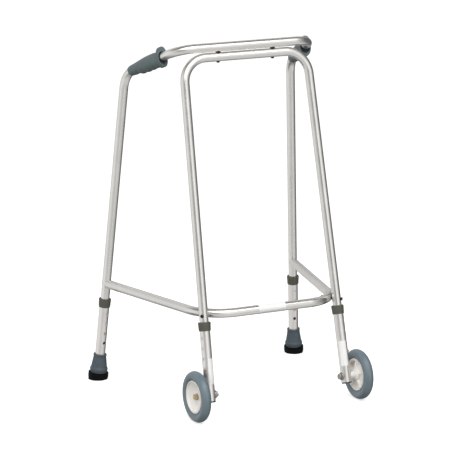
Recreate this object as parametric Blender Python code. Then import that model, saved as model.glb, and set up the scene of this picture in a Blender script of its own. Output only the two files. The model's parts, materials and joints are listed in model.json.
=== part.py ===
"""A height-adjustable wheeled walking frame, as separate solid pieces.

+Z is up and the floor is z = 0. The user stands at +Y and walks towards -Y, where the wheels are.
The origin is on the floor, in the middle of the frame's length and width. Sizes are in metres.
Each leg has an empty at its button hole, with local +Z up the leg and local +X towards the button.
Each wheel has an empty at its middle, with local +Z along the axle, away from the frame.
"""
import math

import bmesh
import bpy
from mathutils import Matrix, Vector

# Overall sizes
AXLE_TO_REAR_FOOT = 0.441
REAR_FOOT_HALF_WIDTH = 0.2826
AXLE_LEG_HALF_WIDTH = 0.1878
CROSSBAR_HEIGHT = 0.8488
HANDLE_REAR_HEIGHT = 0.788
HANDLE_FRONT_HALF_WIDTH = 0.183
BRACE_HEIGHT = 0.250
REAR_SPLAY = math.radians(3.73)
REAR_RAKE = math.radians(4.03)
FRONT_SPLAY = math.radians(1.37)
FRONT_RAKE = math.radians(13.57)

# Tubes
TUBE_RADIUS = 0.0111
TUBE_WALL = 0.0014
EXTENSION_WALL = 0.0013
SLIDE_CLEARANCE = 0.0003
UPPER_BEND_RADIUS = 0.060
BRACE_BEND_RADIUS = 0.095
TUBE_SIDES = 16
BOLT_SIDES = 12
BEND_STEPS = 6

# Height adjustment
BUTTON_HEIGHT = 0.122
HOLE_PITCH = 0.0254
REAR_HOLES = (-1, 2)            # lowest and highest hole, counted from the one that holds the button
FRONT_HOLES = (0, 3)
TOP_HOLE_TO_END = 0.0355
BUTTON_TO_TUBE_END = 0.013
FRONT_BUTTON_BEARING = math.radians(58)
BUTTON_RADIUS = 0.0034
BUTTON_STAND_OUT = 0.0026
BUTTON_CLEARANCE = 0.0004
BUTTON_DOME = ((1, 0.5), (0.7, 0.833), (0.3, 1))     # shares of the button's radius and stand-out
SPRING_THICKNESS = 0.0007
SPRING_HALF_WIDTH = 0.004
SPRING_LENGTH = 0.034
SPRING_FOLD_STEPS = 8

# Collars and ferrules
COLLAR_RADIUS = 0.0155
COLLAR_HEIGHT = 0.0215
COLLAR_LIP = 0.003
FERRULE_HEIGHT = 0.066
FERRULE_TOP_RADIUS = 0.0168
FERRULE_SKIRT_RADIUS = 0.0224
FERRULE_BASE_RADIUS = 0.0255
FERRULE_BASE_HEIGHT = 0.018
FERRULE_FLOOR = 0.003
FERRULE_WASHER = 0.0015
FERRULE_EDGE = 0.00225
FERRULE_LEDGE = 0.0099          # height of the skirt that overhangs the base

# Wheels and axles
WHEEL_RADIUS = 0.0625
TYRE_HALF_WIDTH = 0.012
TYRE_SEAT_HALF_WIDTH = 0.0081
TYRE_ARC_STEPS = 10
TYRE_SIDES = 28
RIM_RADIUS = 0.040
RIM_HALF_WIDTH = 0.0095
RIM_WALL = 0.0035
HUB_SIDES = 20
HUB_DISH_STEPS = 3
WHEEL_OFFSET = 0.0356           # from the leg's axis to the middle of the wheel
BOSS_RADIUS = 0.012
BOSS_INNER_FACE = -0.013
BOSS_OUTER_FACE = -0.001
WEB_THICKNESS = 0.003
HUB_RIBS = 5
RIB_THICKNESS = 0.0045
AXLE_RADIUS = 0.004
AXLE_TO_LEG_END = 0.0148
BUSH_RADIUS = 0.006
SPACER_RADIUS = 0.009
WASHER_RADIUS = 0.008
WASHER_THICKNESS = 0.0012
SADDLE_RADIUS = 0.010
SADDLE_THICKNESS = 0.002
HEX_RADIUS = 0.0075
AXLE_HEAD = 0.0053
AXLE_NUT_BODY = 0.0058
AXLE_NUT_DOME = 0.003
AXLE_NUT_PROFILE = ((0.8, 0), (0.76, 0.5), (0.4, 1))     # shares of the nut's radius and dome height
CLAMP_WRAP = 0.7                # how far a saddle or spacer reaches round the leg, as a share of its radius
END_PLUG_FLANGE = 0.0035
END_PLUG_STEM = 0.007

# Joints between the tubes
CROSSBAR_GAP = 0.002
CROSSBAR_BOLT_HALF_SPACING = 0.0745
SPACER_BLOCK_RADIUS = 0.006
SPACER_BLOCK_HALF_HEIGHT = 0.0037
BOLT_RADIUS = 0.003
BOLT_HEAD_RADIUS = 0.0058
BOLT_HEAD_HEIGHT = 0.0034
BOLT_HEAD_PROFILE = ((0.6, 1), (0.9, 0.65))     # shares of the head's radius and height
NUT_RADIUS = 0.0055
NUT_HEIGHT = 0.0045
BRACE_BOLT_BEARING = math.radians(44)
BRACE_TO_LEG_GAP = 0.0006
BRACE_NUT_CLEARANCE = 0.0009    # the inside of the bend curves towards its nut
BRACE_PLUG_LENGTH = 0.028
BRACE_BOLT_IN_PLUG = 0.022

# Grips
GRIP_FRONT_FROM_BEND = 0.013
GRIP_BEND_STEPS = 1             # how far the grip follows the rear bend, in steps of that bend
GRIP_REAR_RADIUS = 0.0137
GRIP_MIDDLE_RADIUS = 0.0185
GRIP_REAR_HALF_WIDTH = 0.014
GRIP_HALF_WIDTH = 0.0165
GRIP_FINGER_DEPTH = 0.0018
GRIP_FINGERS = 4
GRIP_FULL_AT = 0.7              # where the grip reaches its full height, as a share of its length
FLANGE_HALF_HEIGHT = 0.025
FLANGE_HALF_WIDTH = 0.0165
FLANGE_THICKNESS = 0.009

GAP = 0.0003                    # between neighbouring pieces
HOLE_CLEARANCE = 0.0004         # round a bolt, on the radius

TUBE_BORE = TUBE_RADIUS - TUBE_WALL
EXTENSION_BORE = TUBE_RADIUS + SLIDE_CLEARANCE
EXTENSION_RADIUS = EXTENSION_BORE + EXTENSION_WALL
REAR_FOOT_Y = (AXLE_TO_REAR_FOOT + WHEEL_RADIUS - FERRULE_BASE_RADIUS) / 2
AXLE_Y = REAR_FOOT_Y - AXLE_TO_REAR_FOOT
SIDES = {"left": -1, "right": 1}
UP = Vector((0, 0, 1))


def clear_scene():
    """Empty the file, so that only the walking frame is in it."""
    for found in list(bpy.data.objects):
        bpy.data.objects.remove(found, do_unlink=True)


def finish(name, colour, roughness, metallic=0.0):
    """Make a Principled material from an sRGB hex colour."""
    made = bpy.data.materials.new(name)
    made.use_nodes = True
    shader = made.node_tree.nodes["Principled BSDF"]
    channels = [int(colour[i:i + 2], 16) / 255 for i in (1, 3, 5)]
    linear = [c / 12.92 if c <= 0.04045 else ((c + 0.055) / 1.055) ** 2.4 for c in channels]
    shader.inputs["Base Color"].default_value = (*linear, 1)
    shader.inputs["Roughness"].default_value = roughness
    shader.inputs["Metallic"].default_value = metallic
    return made


def make_object(name, mesh_data, material, parent=None, matrix=None):
    """Turn a bmesh into a named object, placed in its parent's frame."""
    bmesh.ops.recalc_face_normals(mesh_data, faces=mesh_data.faces)
    mesh = bpy.data.meshes.new(name)
    mesh_data.to_mesh(mesh)
    mesh_data.free()
    mesh.shade_smooth()
    mesh.set_sharp_from_angle(angle=math.radians(35))
    made = bpy.data.objects.new(name, mesh)
    bpy.context.scene.collection.objects.link(made)
    if material:
        mesh.materials.append(material)
    made.parent = parent
    if matrix is not None:
        made.matrix_local = matrix
    return made


def make_empty(name, origin, up, forward):
    """Place an empty with local +Z along up and local +X as near to forward as that allows."""
    z = up.normalized()
    x = (forward - forward.dot(z) * z).normalized()
    y = z.cross(x)
    made = bpy.data.objects.new(name, None)
    bpy.context.scene.collection.objects.link(made)
    made.matrix_world = Matrix.Translation(origin) @ Matrix((x, y, z)).transposed().to_4x4()
    bpy.context.view_layer.update()
    return made


def along_x(offset=0.0, height=0.0):
    """A local frame whose +Z runs along its parent's +X."""
    return Matrix.Translation((offset, 0, height)) @ Matrix.Rotation(math.radians(90), 4, "Y")


def facing(origin, direction):
    """A frame at origin whose +Z runs along direction."""
    return Matrix.Translation(origin) @ direction.to_track_quat("Z", "Y").to_matrix().to_4x4()


def ring_faces(mesh_data, lower, upper):
    """Join two rings with the same number of corners by a band of faces."""
    count = len(lower)
    for i in range(count):
        mesh_data.faces.new((lower[i], lower[(i + 1) % count], upper[(i + 1) % count], upper[i]))


def shell(outer_rings, inner_rings):
    """A hollow solid between two rows of rings, open at both ends."""
    mesh_data = bmesh.new()
    outer = [[mesh_data.verts.new(p) for p in ring] for ring in outer_rings]
    inner = [[mesh_data.verts.new(p) for p in ring] for ring in inner_rings]
    for rings in (outer, inner):
        for lower, upper in zip(rings, rings[1:]):
            ring_faces(mesh_data, lower, upper)
    ring_faces(mesh_data, outer[0], inner[0])
    ring_faces(mesh_data, outer[-1], inner[-1])
    return mesh_data


def turned(profile, segments=TUBE_SIDES):
    """Turn (radius, height) points about Z. A profile that starts on the axis ends on it too."""
    mesh_data = bmesh.new()
    solid = profile[0][0] == 0
    turned_points = profile[1:-1] if solid else profile
    rings = []
    for radius, height in turned_points:
        angles = [2 * math.pi * i / segments for i in range(segments)]
        ring = [(radius * math.cos(a), radius * math.sin(a), height) for a in angles]
        rings.append([mesh_data.verts.new(p) for p in ring])
    for lower, upper in zip(rings, rings[1:]):
        ring_faces(mesh_data, lower, upper)
    if solid:
        for ring in (rings[0], rings[-1]):
            mesh_data.faces.new(ring)
    else:
        ring_faces(mesh_data, rings[-1], rings[0])
    return mesh_data


def disc(radius, low, high, segments=TUBE_SIDES):
    """A plain round solid from height low to height high."""
    return turned([(0, low), (radius, low), (radius, high), (0, high)], segments)


def washer(radius, bore, low, high, segments=TUBE_SIDES):
    """A plain ring from height low to height high."""
    return turned([(bore, low), (radius, low), (radius, high), (bore, high)], segments)


def cut(piece, cutter_mesh, parent=None, matrix=None, operation="DIFFERENCE"):
    """Cut a piece with a hidden cutter, or join the cutter to it."""
    name = f"cutter_{piece.name}_{len(piece.modifiers)}"
    cutter = make_object(name, cutter_mesh, None, parent, matrix)
    cutter.hide_render = True
    cutter.display_type = "WIRE"
    step = piece.modifiers.new(cutter.name, "BOOLEAN")
    step.operation = operation
    step.solver = "EXACT"
    step.object = cutter
    return cutter


def join(piece, other_mesh, parent=None, matrix=None):
    """Join another solid to a piece, so that the two are one body."""
    return cut(piece, other_mesh, parent, matrix, operation="UNION")


def ring_frames(points):
    """The middle, side and up direction at each point of a path, turned as little as possible."""
    steps = [(b - a).normalized() for a, b in zip(points, points[1:])]
    tangents = [steps[0]]
    for before, after in zip(steps, steps[1:]):
        tangents.append((before + after).normalized())
    tangents.append(steps[-1])
    side = tangents[0].cross(Vector((0, 1, 0))).normalized()
    frames = []
    for i, point in enumerate(points):
        if i:
            side = tangents[i - 1].rotation_difference(tangents[i]) @ side
        frames.append((point, side, tangents[i].cross(side)))
    return frames


def circle_ring(frame, radius):
    """Points round a path on a circle of one radius."""
    middle, side, up = frame
    angles = [2 * math.pi * i / TUBE_SIDES for i in range(TUBE_SIDES)]
    return [middle + radius * (math.cos(a) * side + math.sin(a) * up) for a in angles]


def bent_tube(points, radius, bore):
    """A hollow tube along a path."""
    frames = ring_frames(points)
    return shell([circle_ring(f, radius) for f in frames], [circle_ring(f, bore) for f in frames])


def rounded(corners, radius):
    """A path through the corners, with each corner in between turned into an arc."""
    path = [corners[0]]
    for before, corner, after in zip(corners, corners[1:], corners[2:]):
        back, ahead = (before - corner).normalized(), (after - corner).normalized()
        turn = math.pi - back.angle(ahead)
        start = corner + back * radius * math.tan(turn / 2)
        centre = corner + (back + ahead).normalized() * radius / math.cos(turn / 2)
        axis = (-back).cross(ahead).normalized()
        for i in range(BEND_STEPS + 1):
            swing = Matrix.Rotation(turn * i / BEND_STEPS, 3, axis)
            path.append(centre + swing @ (start - centre))
    path.append(corners[-1])
    return path


def leg_line(side, end):
    """A point on a leg's axis and the unit direction up the leg."""
    if end == "rear":
        point = Vector((side * REAR_FOOT_HALF_WIDTH, REAR_FOOT_Y, 0))
        up = Vector((-side * math.tan(REAR_SPLAY), -math.tan(REAR_RAKE), 1))
    else:
        point = Vector((side * AXLE_LEG_HALF_WIDTH, AXLE_Y, WHEEL_RADIUS))
        up = Vector((-side * math.tan(FRONT_SPLAY), math.tan(FRONT_RAKE), 1))
    return point, up.normalized()


def on_leg(side, end, height):
    """The point of a leg's axis at a height above the floor."""
    point, up = leg_line(side, end)
    return point + up * (height - point.z) / up.z


def tube_end(side, end):
    """The lower end of a frame tube, inside its leg extension."""
    return on_leg(side, end, BUTTON_HEIGHT) - leg_line(side, end)[1] * BUTTON_TO_TUBE_END


def brace_corner(side):
    """The centre of the brace's corner bend, which passes inside the front leg."""
    leg = on_leg(side, "front", BRACE_HEIGHT)
    reach = BRACE_BEND_RADIUS + 2 * TUBE_RADIUS + BRACE_TO_LEG_GAP
    outward = Vector((side * math.sin(BRACE_BOLT_BEARING), -math.cos(BRACE_BOLT_BEARING), 0))
    return leg - outward * reach, outward


def brace_side(side):
    """The brace's end on the rear leg's axis, and its direction forwards, touching the corner bend."""
    end = on_leg(side, "rear", BRACE_HEIGHT)
    to_centre = brace_corner(side)[0] - end
    swing = side * math.asin(BRACE_BEND_RADIUS / to_centre.length)
    return end, (Matrix.Rotation(swing, 3, "Z") @ to_centre).normalized()


def button_side(side, end):
    """The horizontal direction that a leg's buttons and holes face."""
    if end == "rear":
        return brace_side(side)[1]
    return Vector((side * math.sin(FRONT_BUTTON_BEARING), -math.cos(FRONT_BUTTON_BEARING), 0))


def handle_path():
    """The handle tube's path: up one rear leg, along a grip, across the front and back again."""
    front_y = on_leg(1, "front", CROSSBAR_HEIGHT).y
    top = CROSSBAR_HEIGHT + 2 * TUBE_RADIUS + CROSSBAR_GAP
    halves = {}
    for side in SIDES.values():
        halves[side] = [
            tube_end(side, "rear"),
            on_leg(side, "rear", HANDLE_REAR_HEIGHT),
            Vector((side * HANDLE_FRONT_HALF_WIDTH, front_y, top)),
        ]
    return rounded(halves[-1] + halves[1][::-1], UPPER_BEND_RADIUS)


def drill_leg(piece, leg, height):
    """One hole for a snap button, through the wall on the button's side."""
    hole = disc(BUTTON_RADIUS + BUTTON_CLEARANCE, TUBE_BORE / 2, 2 * EXTENSION_RADIUS, BOLT_SIDES)
    cut(piece, hole, leg, along_x(0, height))


def drill_through(piece, middle, direction, radius, reach=2 * TUBE_RADIUS):
    """One round hole for a bolt."""
    cut(piece, disc(radius, -reach, reach, BOLT_SIDES), None, facing(middle, direction))


def make_handle_tube(legs, metal):
    """The handle tube: both rear legs, both handles and the upper crossbar in one bend."""
    tube = make_object("handle_tube", bent_tube(handle_path(), TUBE_RADIUS, TUBE_BORE), metal)
    for name, side in SIDES.items():
        drill_leg(tube, legs["rear", name], 0)
        end, forward = brace_side(side)
        drill_through(tube, end, forward, BOLT_RADIUS + HOLE_CLEARANCE)
        bolt_x = side * CROSSBAR_BOLT_HALF_SPACING
        wall_height = CROSSBAR_HEIGHT + TUBE_RADIUS + CROSSBAR_GAP
        lower_wall = Vector((bolt_x, on_leg(1, "front", CROSSBAR_HEIGHT).y, wall_height))
        drill_through(tube, lower_wall, UP, BOLT_RADIUS + HOLE_CLEARANCE, TUBE_RADIUS / 2)


def make_front_leg_tube(legs, metal):
    """The front leg tube: both front legs and the lower crossbar."""
    corners = []
    for side in (-1, 1):
        corner = on_leg(side, "front", CROSSBAR_HEIGHT)
        corners += [tube_end(side, "front"), corner][::-side]
    path = rounded(corners, UPPER_BEND_RADIUS)
    tube = make_object("front_leg_tube", bent_tube(path, TUBE_RADIUS, TUBE_BORE), metal)
    for name, side in SIDES.items():
        drill_leg(tube, legs["front", name], 0)
        outward = brace_corner(side)[1]
        leg_middle = on_leg(side, "front", BRACE_HEIGHT)
        drill_through(tube, leg_middle, outward, BOLT_RADIUS + HOLE_CLEARANCE)
        crossbar = Vector((side * CROSSBAR_BOLT_HALF_SPACING, corners[1].y, CROSSBAR_HEIGHT))
        drill_through(tube, crossbar, UP, BOLT_RADIUS + HOLE_CLEARANCE)


def make_lower_brace(metal):
    """The lower brace: a U whose ends are shaped to the rear legs and whose corners hold the front legs."""
    corners = []
    for side in (-1, 1):
        end, forward = brace_side(side)
        front_y = brace_corner(side)[0].y - BRACE_BEND_RADIUS
        corner = end + forward * (front_y - end.y) / forward.y
        corners += [end, corner][::-side]
    path = rounded(corners, BRACE_BEND_RADIUS)
    tube = make_object("lower_brace", bent_tube(path, TUBE_RADIUS, TUBE_BORE), metal)
    for side in SIDES.values():
        saddle = disc(TUBE_RADIUS + GAP, -4 * TUBE_RADIUS, 4 * TUBE_RADIUS)
        rear_leg = facing(on_leg(side, "rear", BRACE_HEIGHT), leg_line(side, "rear")[1])
        cut(tube, saddle, None, rear_leg)
        centre, outward = brace_corner(side)
        middle = centre + outward * BRACE_BEND_RADIUS
        drill_through(tube, middle, outward, BOLT_RADIUS + HOLE_CLEARANCE)


def round_bolt(name, length, material, matrix):
    """A dome-headed bolt: its shank runs from 0 to length along Z and its head is below 0."""
    head = [(0, -BOLT_HEAD_HEIGHT)]
    head += [(BOLT_HEAD_RADIUS * r, -BOLT_HEAD_HEIGHT * h) for r, h in BOLT_HEAD_PROFILE]
    head.append((BOLT_HEAD_RADIUS, -GAP))
    shank = [(BOLT_RADIUS, -GAP), (BOLT_RADIUS, length), (0, length)]
    return make_object(name, turned(head + shank, BOLT_SIDES), material, None, matrix)


def hex_nut(name, material, matrix):
    """A plain hexagonal nut that stands on 0 along Z."""
    nut = make_object(name, disc(NUT_RADIUS, 0, NUT_HEIGHT, 6), material, None, matrix)
    drill = disc(BOLT_RADIUS + GAP, -NUT_HEIGHT, 2 * NUT_HEIGHT, BOLT_SIDES)
    cut(nut, drill, None, matrix)


def make_crossbar_fasteners(name, side, steel, black):
    """A bolt up through the lower crossbar, a block between the crossbars and a nut in the upper one."""
    x, y = side * CROSSBAR_BOLT_HALF_SPACING, on_leg(1, "front", CROSSBAR_HEIGHT).y
    underside = Vector((x, y, CROSSBAR_HEIGHT - TUBE_RADIUS))
    between = Vector((x, y, CROSSBAR_HEIGHT + TUBE_RADIUS + CROSSBAR_GAP / 2))
    nut_drop = math.sqrt((TUBE_BORE * math.cos(math.pi / TUBE_SIDES)) ** 2 - NUT_RADIUS ** 2)
    nut_height = CROSSBAR_HEIGHT + 2 * TUBE_RADIUS + CROSSBAR_GAP - nut_drop + GAP
    length = nut_height + NUT_HEIGHT + 2 * GAP - underside.z
    round_bolt(f"crossbar_bolt_{name}", length, steel, Matrix.Translation(underside))
    hex_nut(f"crossbar_nut_{name}", steel, Matrix.Translation((x, y, nut_height)))
    low, high = -SPACER_BLOCK_HALF_HEIGHT, SPACER_BLOCK_HALF_HEIGHT
    block = washer(SPACER_BLOCK_RADIUS, BOLT_RADIUS + HOLE_CLEARANCE, low, high)
    block = make_object(f"crossbar_spacer_{name}", block, black, None, Matrix.Translation(between))
    reach = TUBE_RADIUS + CROSSBAR_GAP / 2
    for drop in (-reach, reach):
        bar = disc(TUBE_RADIUS + GAP, -2 * SPACER_BLOCK_RADIUS, 2 * SPACER_BLOCK_RADIUS)
        cut(block, bar, None, Matrix.Translation(between + UP * drop) @ along_x())


def head_seat_reach(side, end, direction):
    """How far from a leaning leg's axis a flat bolt head clears the tube, along a horizontal direction."""
    lean = math.asin(abs(leg_line(side, end)[1].dot(direction)))
    return TUBE_RADIUS / math.cos(lean) + BOLT_HEAD_RADIUS * math.tan(lean) + GAP


def make_brace_fasteners(name, side, steel, black):
    """The bolts that hold the brace: one through each front leg and one into each rear end."""
    centre, outward = brace_corner(side)
    leg = on_leg(side, "front", BRACE_HEIGHT)
    head_seat = leg + outward * head_seat_reach(side, "front", outward)
    nut_seat = centre + outward * (BRACE_BEND_RADIUS - TUBE_RADIUS - BRACE_NUT_CLEARANCE)
    length = (head_seat - nut_seat).length + NUT_HEIGHT + GAP
    round_bolt(f"brace_front_bolt_{name}", length, steel, facing(head_seat, -outward))
    hex_nut(f"brace_front_nut_{name}", steel, facing(nut_seat, -outward))
    end, forward = brace_side(side)
    rear_reach = head_seat_reach(side, "rear", forward)
    rear_seat = end - forward * rear_reach
    length = rear_reach + TUBE_RADIUS + GAP + BRACE_BOLT_IN_PLUG
    round_bolt(f"brace_rear_bolt_{name}", length, steel, facing(rear_seat, forward))
    plug = washer(TUBE_BORE - SLIDE_CLEARANCE, BOLT_RADIUS + GAP, 0, BRACE_PLUG_LENGTH)
    plug = make_object(f"brace_end_plug_{name}", plug, black, None, facing(end, forward))
    saddle = disc(TUBE_RADIUS + 2 * GAP, -4 * TUBE_RADIUS, 4 * TUBE_RADIUS)
    cut(plug, saddle, None, facing(end, leg_line(side, "rear")[1]))


def extension_span(side, end):
    """The lowest and highest height of a leg extension, in its leg's frame."""
    up = leg_line(side, end)[1]
    holes = REAR_HOLES if end == "rear" else FRONT_HOLES
    top = holes[1] * HOLE_PITCH + TOP_HOLE_TO_END
    if end == "rear":
        seat = FERRULE_BASE_HEIGHT + GAP + FERRULE_FLOOR + GAP + FERRULE_WASHER + GAP
        return seat - BUTTON_HEIGHT / up.z, top
    return (WHEEL_RADIUS - BUTTON_HEIGHT) / up.z - AXLE_TO_LEG_END, top


def make_leg(name, side, end, leg, metal, collar_plastic):
    """A leg extension with its row of holes, and the collar on its upper end."""
    low, high = extension_span(side, end)
    tube = washer(EXTENSION_RADIUS, EXTENSION_BORE, low, high)
    tube = make_object(f"leg_extension_{end}_{name}", tube, metal, leg)
    first, last = REAR_HOLES if end == "rear" else FRONT_HOLES
    for hole in range(first, last + 1):
        drill_leg(tube, leg, hole * HOLE_PITCH)
    top = high + COLLAR_LIP
    bottom = top - COLLAR_HEIGHT
    lip_bore = TUBE_RADIUS + SLIDE_CLEARANCE
    edge = COLLAR_LIP / 3
    profile = [
        (EXTENSION_RADIUS + GAP, bottom),
        (COLLAR_RADIUS - edge, bottom),
        (COLLAR_RADIUS, bottom + edge),
        (COLLAR_RADIUS, top - edge),
        (COLLAR_RADIUS - edge, top),
        (lip_bore, top),
        (lip_bore, high + GAP),
        (EXTENSION_RADIUS + GAP, high + GAP),
    ]
    make_object(f"collar_{end}_{name}", turned(profile), collar_plastic, leg)
    return tube


def strip(points, half_width):
    """A flat outline of (height, offset) points, extruded to both sides of the leg's middle plane."""
    mesh_data = bmesh.new()
    face = mesh_data.faces.new([mesh_data.verts.new((q, -half_width, p)) for p, q in points])
    grown = bmesh.ops.extrude_face_region(mesh_data, geom=[face])
    moved = [v for v in grown["geom"] if isinstance(v, bmesh.types.BMVert)]
    bmesh.ops.translate(mesh_data, verts=moved, vec=(0, 2 * half_width, 0))
    return mesh_data


def make_snap_button(name, end, leg, brass, spring_steel):
    """The snap button on its strip, and the fold and back of the spring that pushes it out."""
    flat = TUBE_BORE * math.cos(math.pi / TUBE_SIDES)
    face = math.sqrt(flat ** 2 - SPRING_HALF_WIDTH ** 2) - GAP
    inner = face - SPRING_THICKNESS
    foot = -BUTTON_RADIUS - SPRING_THICKNESS
    leaf = [(foot, face), (SPRING_LENGTH, face), (SPRING_LENGTH, inner), (foot, inner)]
    button = make_object(f"snap_button_{end}_{name}", strip(leaf, SPRING_HALF_WIDTH), brass, leg)
    dome = [(0, inner), (BUTTON_RADIUS, inner)]
    dome += [(BUTTON_RADIUS * r, EXTENSION_RADIUS + BUTTON_STAND_OUT * h) for r, h in BUTTON_DOME]
    dome.append((0, EXTENSION_RADIUS + BUTTON_STAND_OUT))
    join(button, turned(dome, BOLT_SIDES), leg, along_x())
    fold_foot = SPRING_LENGTH + GAP
    arc = [math.pi * i / SPRING_FOLD_STEPS for i in range(SPRING_FOLD_STEPS + 1)]
    back = [(fold_foot + face * math.sin(a), face * math.cos(a)) for a in arc]
    back += [(foot, -face), (foot, -inner)]
    back += [(fold_foot + inner * math.sin(a), inner * math.cos(a)) for a in reversed(arc)]
    make_object(f"snap_spring_{end}_{name}", strip(back, SPRING_HALF_WIDTH), spring_steel, leg)


def make_ferrule(name, side, leg, grey_rubber, black_rubber, steel):
    """A rubber ferrule: a grey body over the leg, a black base cut flat on the floor, a steel washer."""
    floor = -BUTTON_HEIGHT / leg_line(side, "rear")[1].z
    base_top = floor + FERRULE_BASE_HEIGHT
    below = floor - FERRULE_BASE_RADIUS / 4
    base = [
        (0, below),
        (FERRULE_BASE_RADIUS, below),
        (FERRULE_BASE_RADIUS, base_top - FERRULE_EDGE),
        (FERRULE_BASE_RADIUS - FERRULE_EDGE, base_top),
        (0, base_top),
    ]
    base = make_object(f"ferrule_base_{name}", turned(base), black_rubber, leg)
    under_floor = bmesh.new()
    bmesh.ops.create_cube(under_floor, size=4 * FERRULE_BASE_RADIUS)
    foot = on_leg(side, "rear", 0) - UP * 2 * FERRULE_BASE_RADIUS
    cut(base, under_floor, None, Matrix.Translation(foot))
    skirt_low = base_top + GAP
    skirt_high = skirt_low + FERRULE_LEDGE
    top = floor + FERRULE_HEIGHT
    bore = EXTENSION_RADIUS + GAP
    floor_top = skirt_low + FERRULE_FLOOR
    shoulder = (FERRULE_TOP_RADIUS + FERRULE_SKIRT_RADIUS) / 2
    body = [
        (0, skirt_low),
        (FERRULE_SKIRT_RADIUS, skirt_low),
        (FERRULE_SKIRT_RADIUS - FERRULE_EDGE / 2, skirt_high),
        (shoulder, skirt_high + FERRULE_EDGE),
        (FERRULE_TOP_RADIUS, top - 2 * FERRULE_EDGE),
        (FERRULE_TOP_RADIUS, top),
        (bore, top),
        (bore, floor_top),
        (0, floor_top),
    ]
    make_object(f"ferrule_body_{name}", turned(body), grey_rubber, leg)
    low = floor_top + GAP
    disc_mesh = disc(EXTENSION_RADIUS - GAP, low, low + FERRULE_WASHER)
    make_object(f"ferrule_washer_{name}", disc_mesh, steel, leg)


def sector(profile, start, sweep, steps):
    """A closed (radius, height) profile swept part of the way round Z."""
    mesh_data = bmesh.new()
    rings = []
    for i in range(steps + 1):
        a = start + sweep * i / steps
        points = [(r * math.cos(a), r * math.sin(a), h) for r, h in profile]
        rings.append([mesh_data.verts.new(p) for p in points])
    for lower, upper in zip(rings, rings[1:]):
        ring_faces(mesh_data, lower, upper)
    mesh_data.faces.new(rings[0])
    mesh_data.faces.new(rings[-1])
    return mesh_data


def make_tyre(name, wheel, rubber):
    """The solid tyre: an oval section with a flat seat on the rim."""
    middle = (WHEEL_RADIUS + RIM_RADIUS) / 2
    half = (WHEEL_RADIUS - RIM_RADIUS) / 2
    reach = math.pi - math.asin(TYRE_SEAT_HALF_WIDTH / TYRE_HALF_WIDTH)
    turns = [reach * (2 * i / TYRE_ARC_STEPS - 1) for i in range(1, TYRE_ARC_STEPS)]
    profile = [(RIM_RADIUS, -TYRE_SEAT_HALF_WIDTH)]
    profile += [(middle + half * math.cos(t), TYRE_HALF_WIDTH * math.sin(t)) for t in turns]
    profile.append((RIM_RADIUS, TYRE_SEAT_HALF_WIDTH))
    make_object(f"tyre_{name}", turned(profile, TYRE_SIDES), rubber, wheel)


def make_hub(name, wheel, plastic, steel):
    """The moulded hub, dished outside and ribbed inside, and the bush it turns on."""
    outer = RIM_RADIUS - GAP
    rim_bore = outer - RIM_WALL
    bore = BUSH_RADIUS + GAP
    rise = RIM_HALF_WIDTH - RIM_WALL - BOSS_OUTER_FACE
    dish = []
    for i in range(HUB_DISH_STEPS + 1):
        share = i / HUB_DISH_STEPS
        height = BOSS_OUTER_FACE + rise * (1 - math.cos(math.pi / 2 * share))
        dish.append((BOSS_RADIUS + (rim_bore - BOSS_RADIUS) * share, height))
    profile = [(bore, BOSS_INNER_FACE), (bore, BOSS_OUTER_FACE)] + dish
    profile += [(rim_bore, RIM_HALF_WIDTH), (outer, RIM_HALF_WIDTH), (outer, -RIM_HALF_WIDTH)]
    profile += [(BOSS_RADIUS + RIM_WALL, -RIM_HALF_WIDTH), (BOSS_RADIUS, BOSS_INNER_FACE)]
    hub = make_object(f"wheel_hub_{name}", turned(profile, HUB_SIDES), plastic, wheel)
    low, high = BOSS_RADIUS + RIM_WALL, rim_bore - RIM_WALL / 3
    open_face = -2 * RIM_HALF_WIDTH
    pocket = [
        (low, open_face),
        (high, open_face),
        (high, dish[-2][1] - WEB_THICKNESS),
        (dish[1][0], dish[1][1] - WEB_THICKNESS),
        (low, dish[0][1] - WEB_THICKNESS),
    ]
    rib_turn = RIB_THICKNESS / ((low + high) / 2)
    turn = 2 * math.pi / HUB_RIBS
    for i in range(HUB_RIBS):
        cut(hub, sector(pocket, turn * i + rib_turn / 2, turn - rib_turn, 3), wheel)
    bush = washer(BUSH_RADIUS, AXLE_RADIUS + GAP, BOSS_INNER_FACE, BOSS_OUTER_FACE)
    make_object(f"hub_bush_{name}", bush, steel, wheel)


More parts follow.
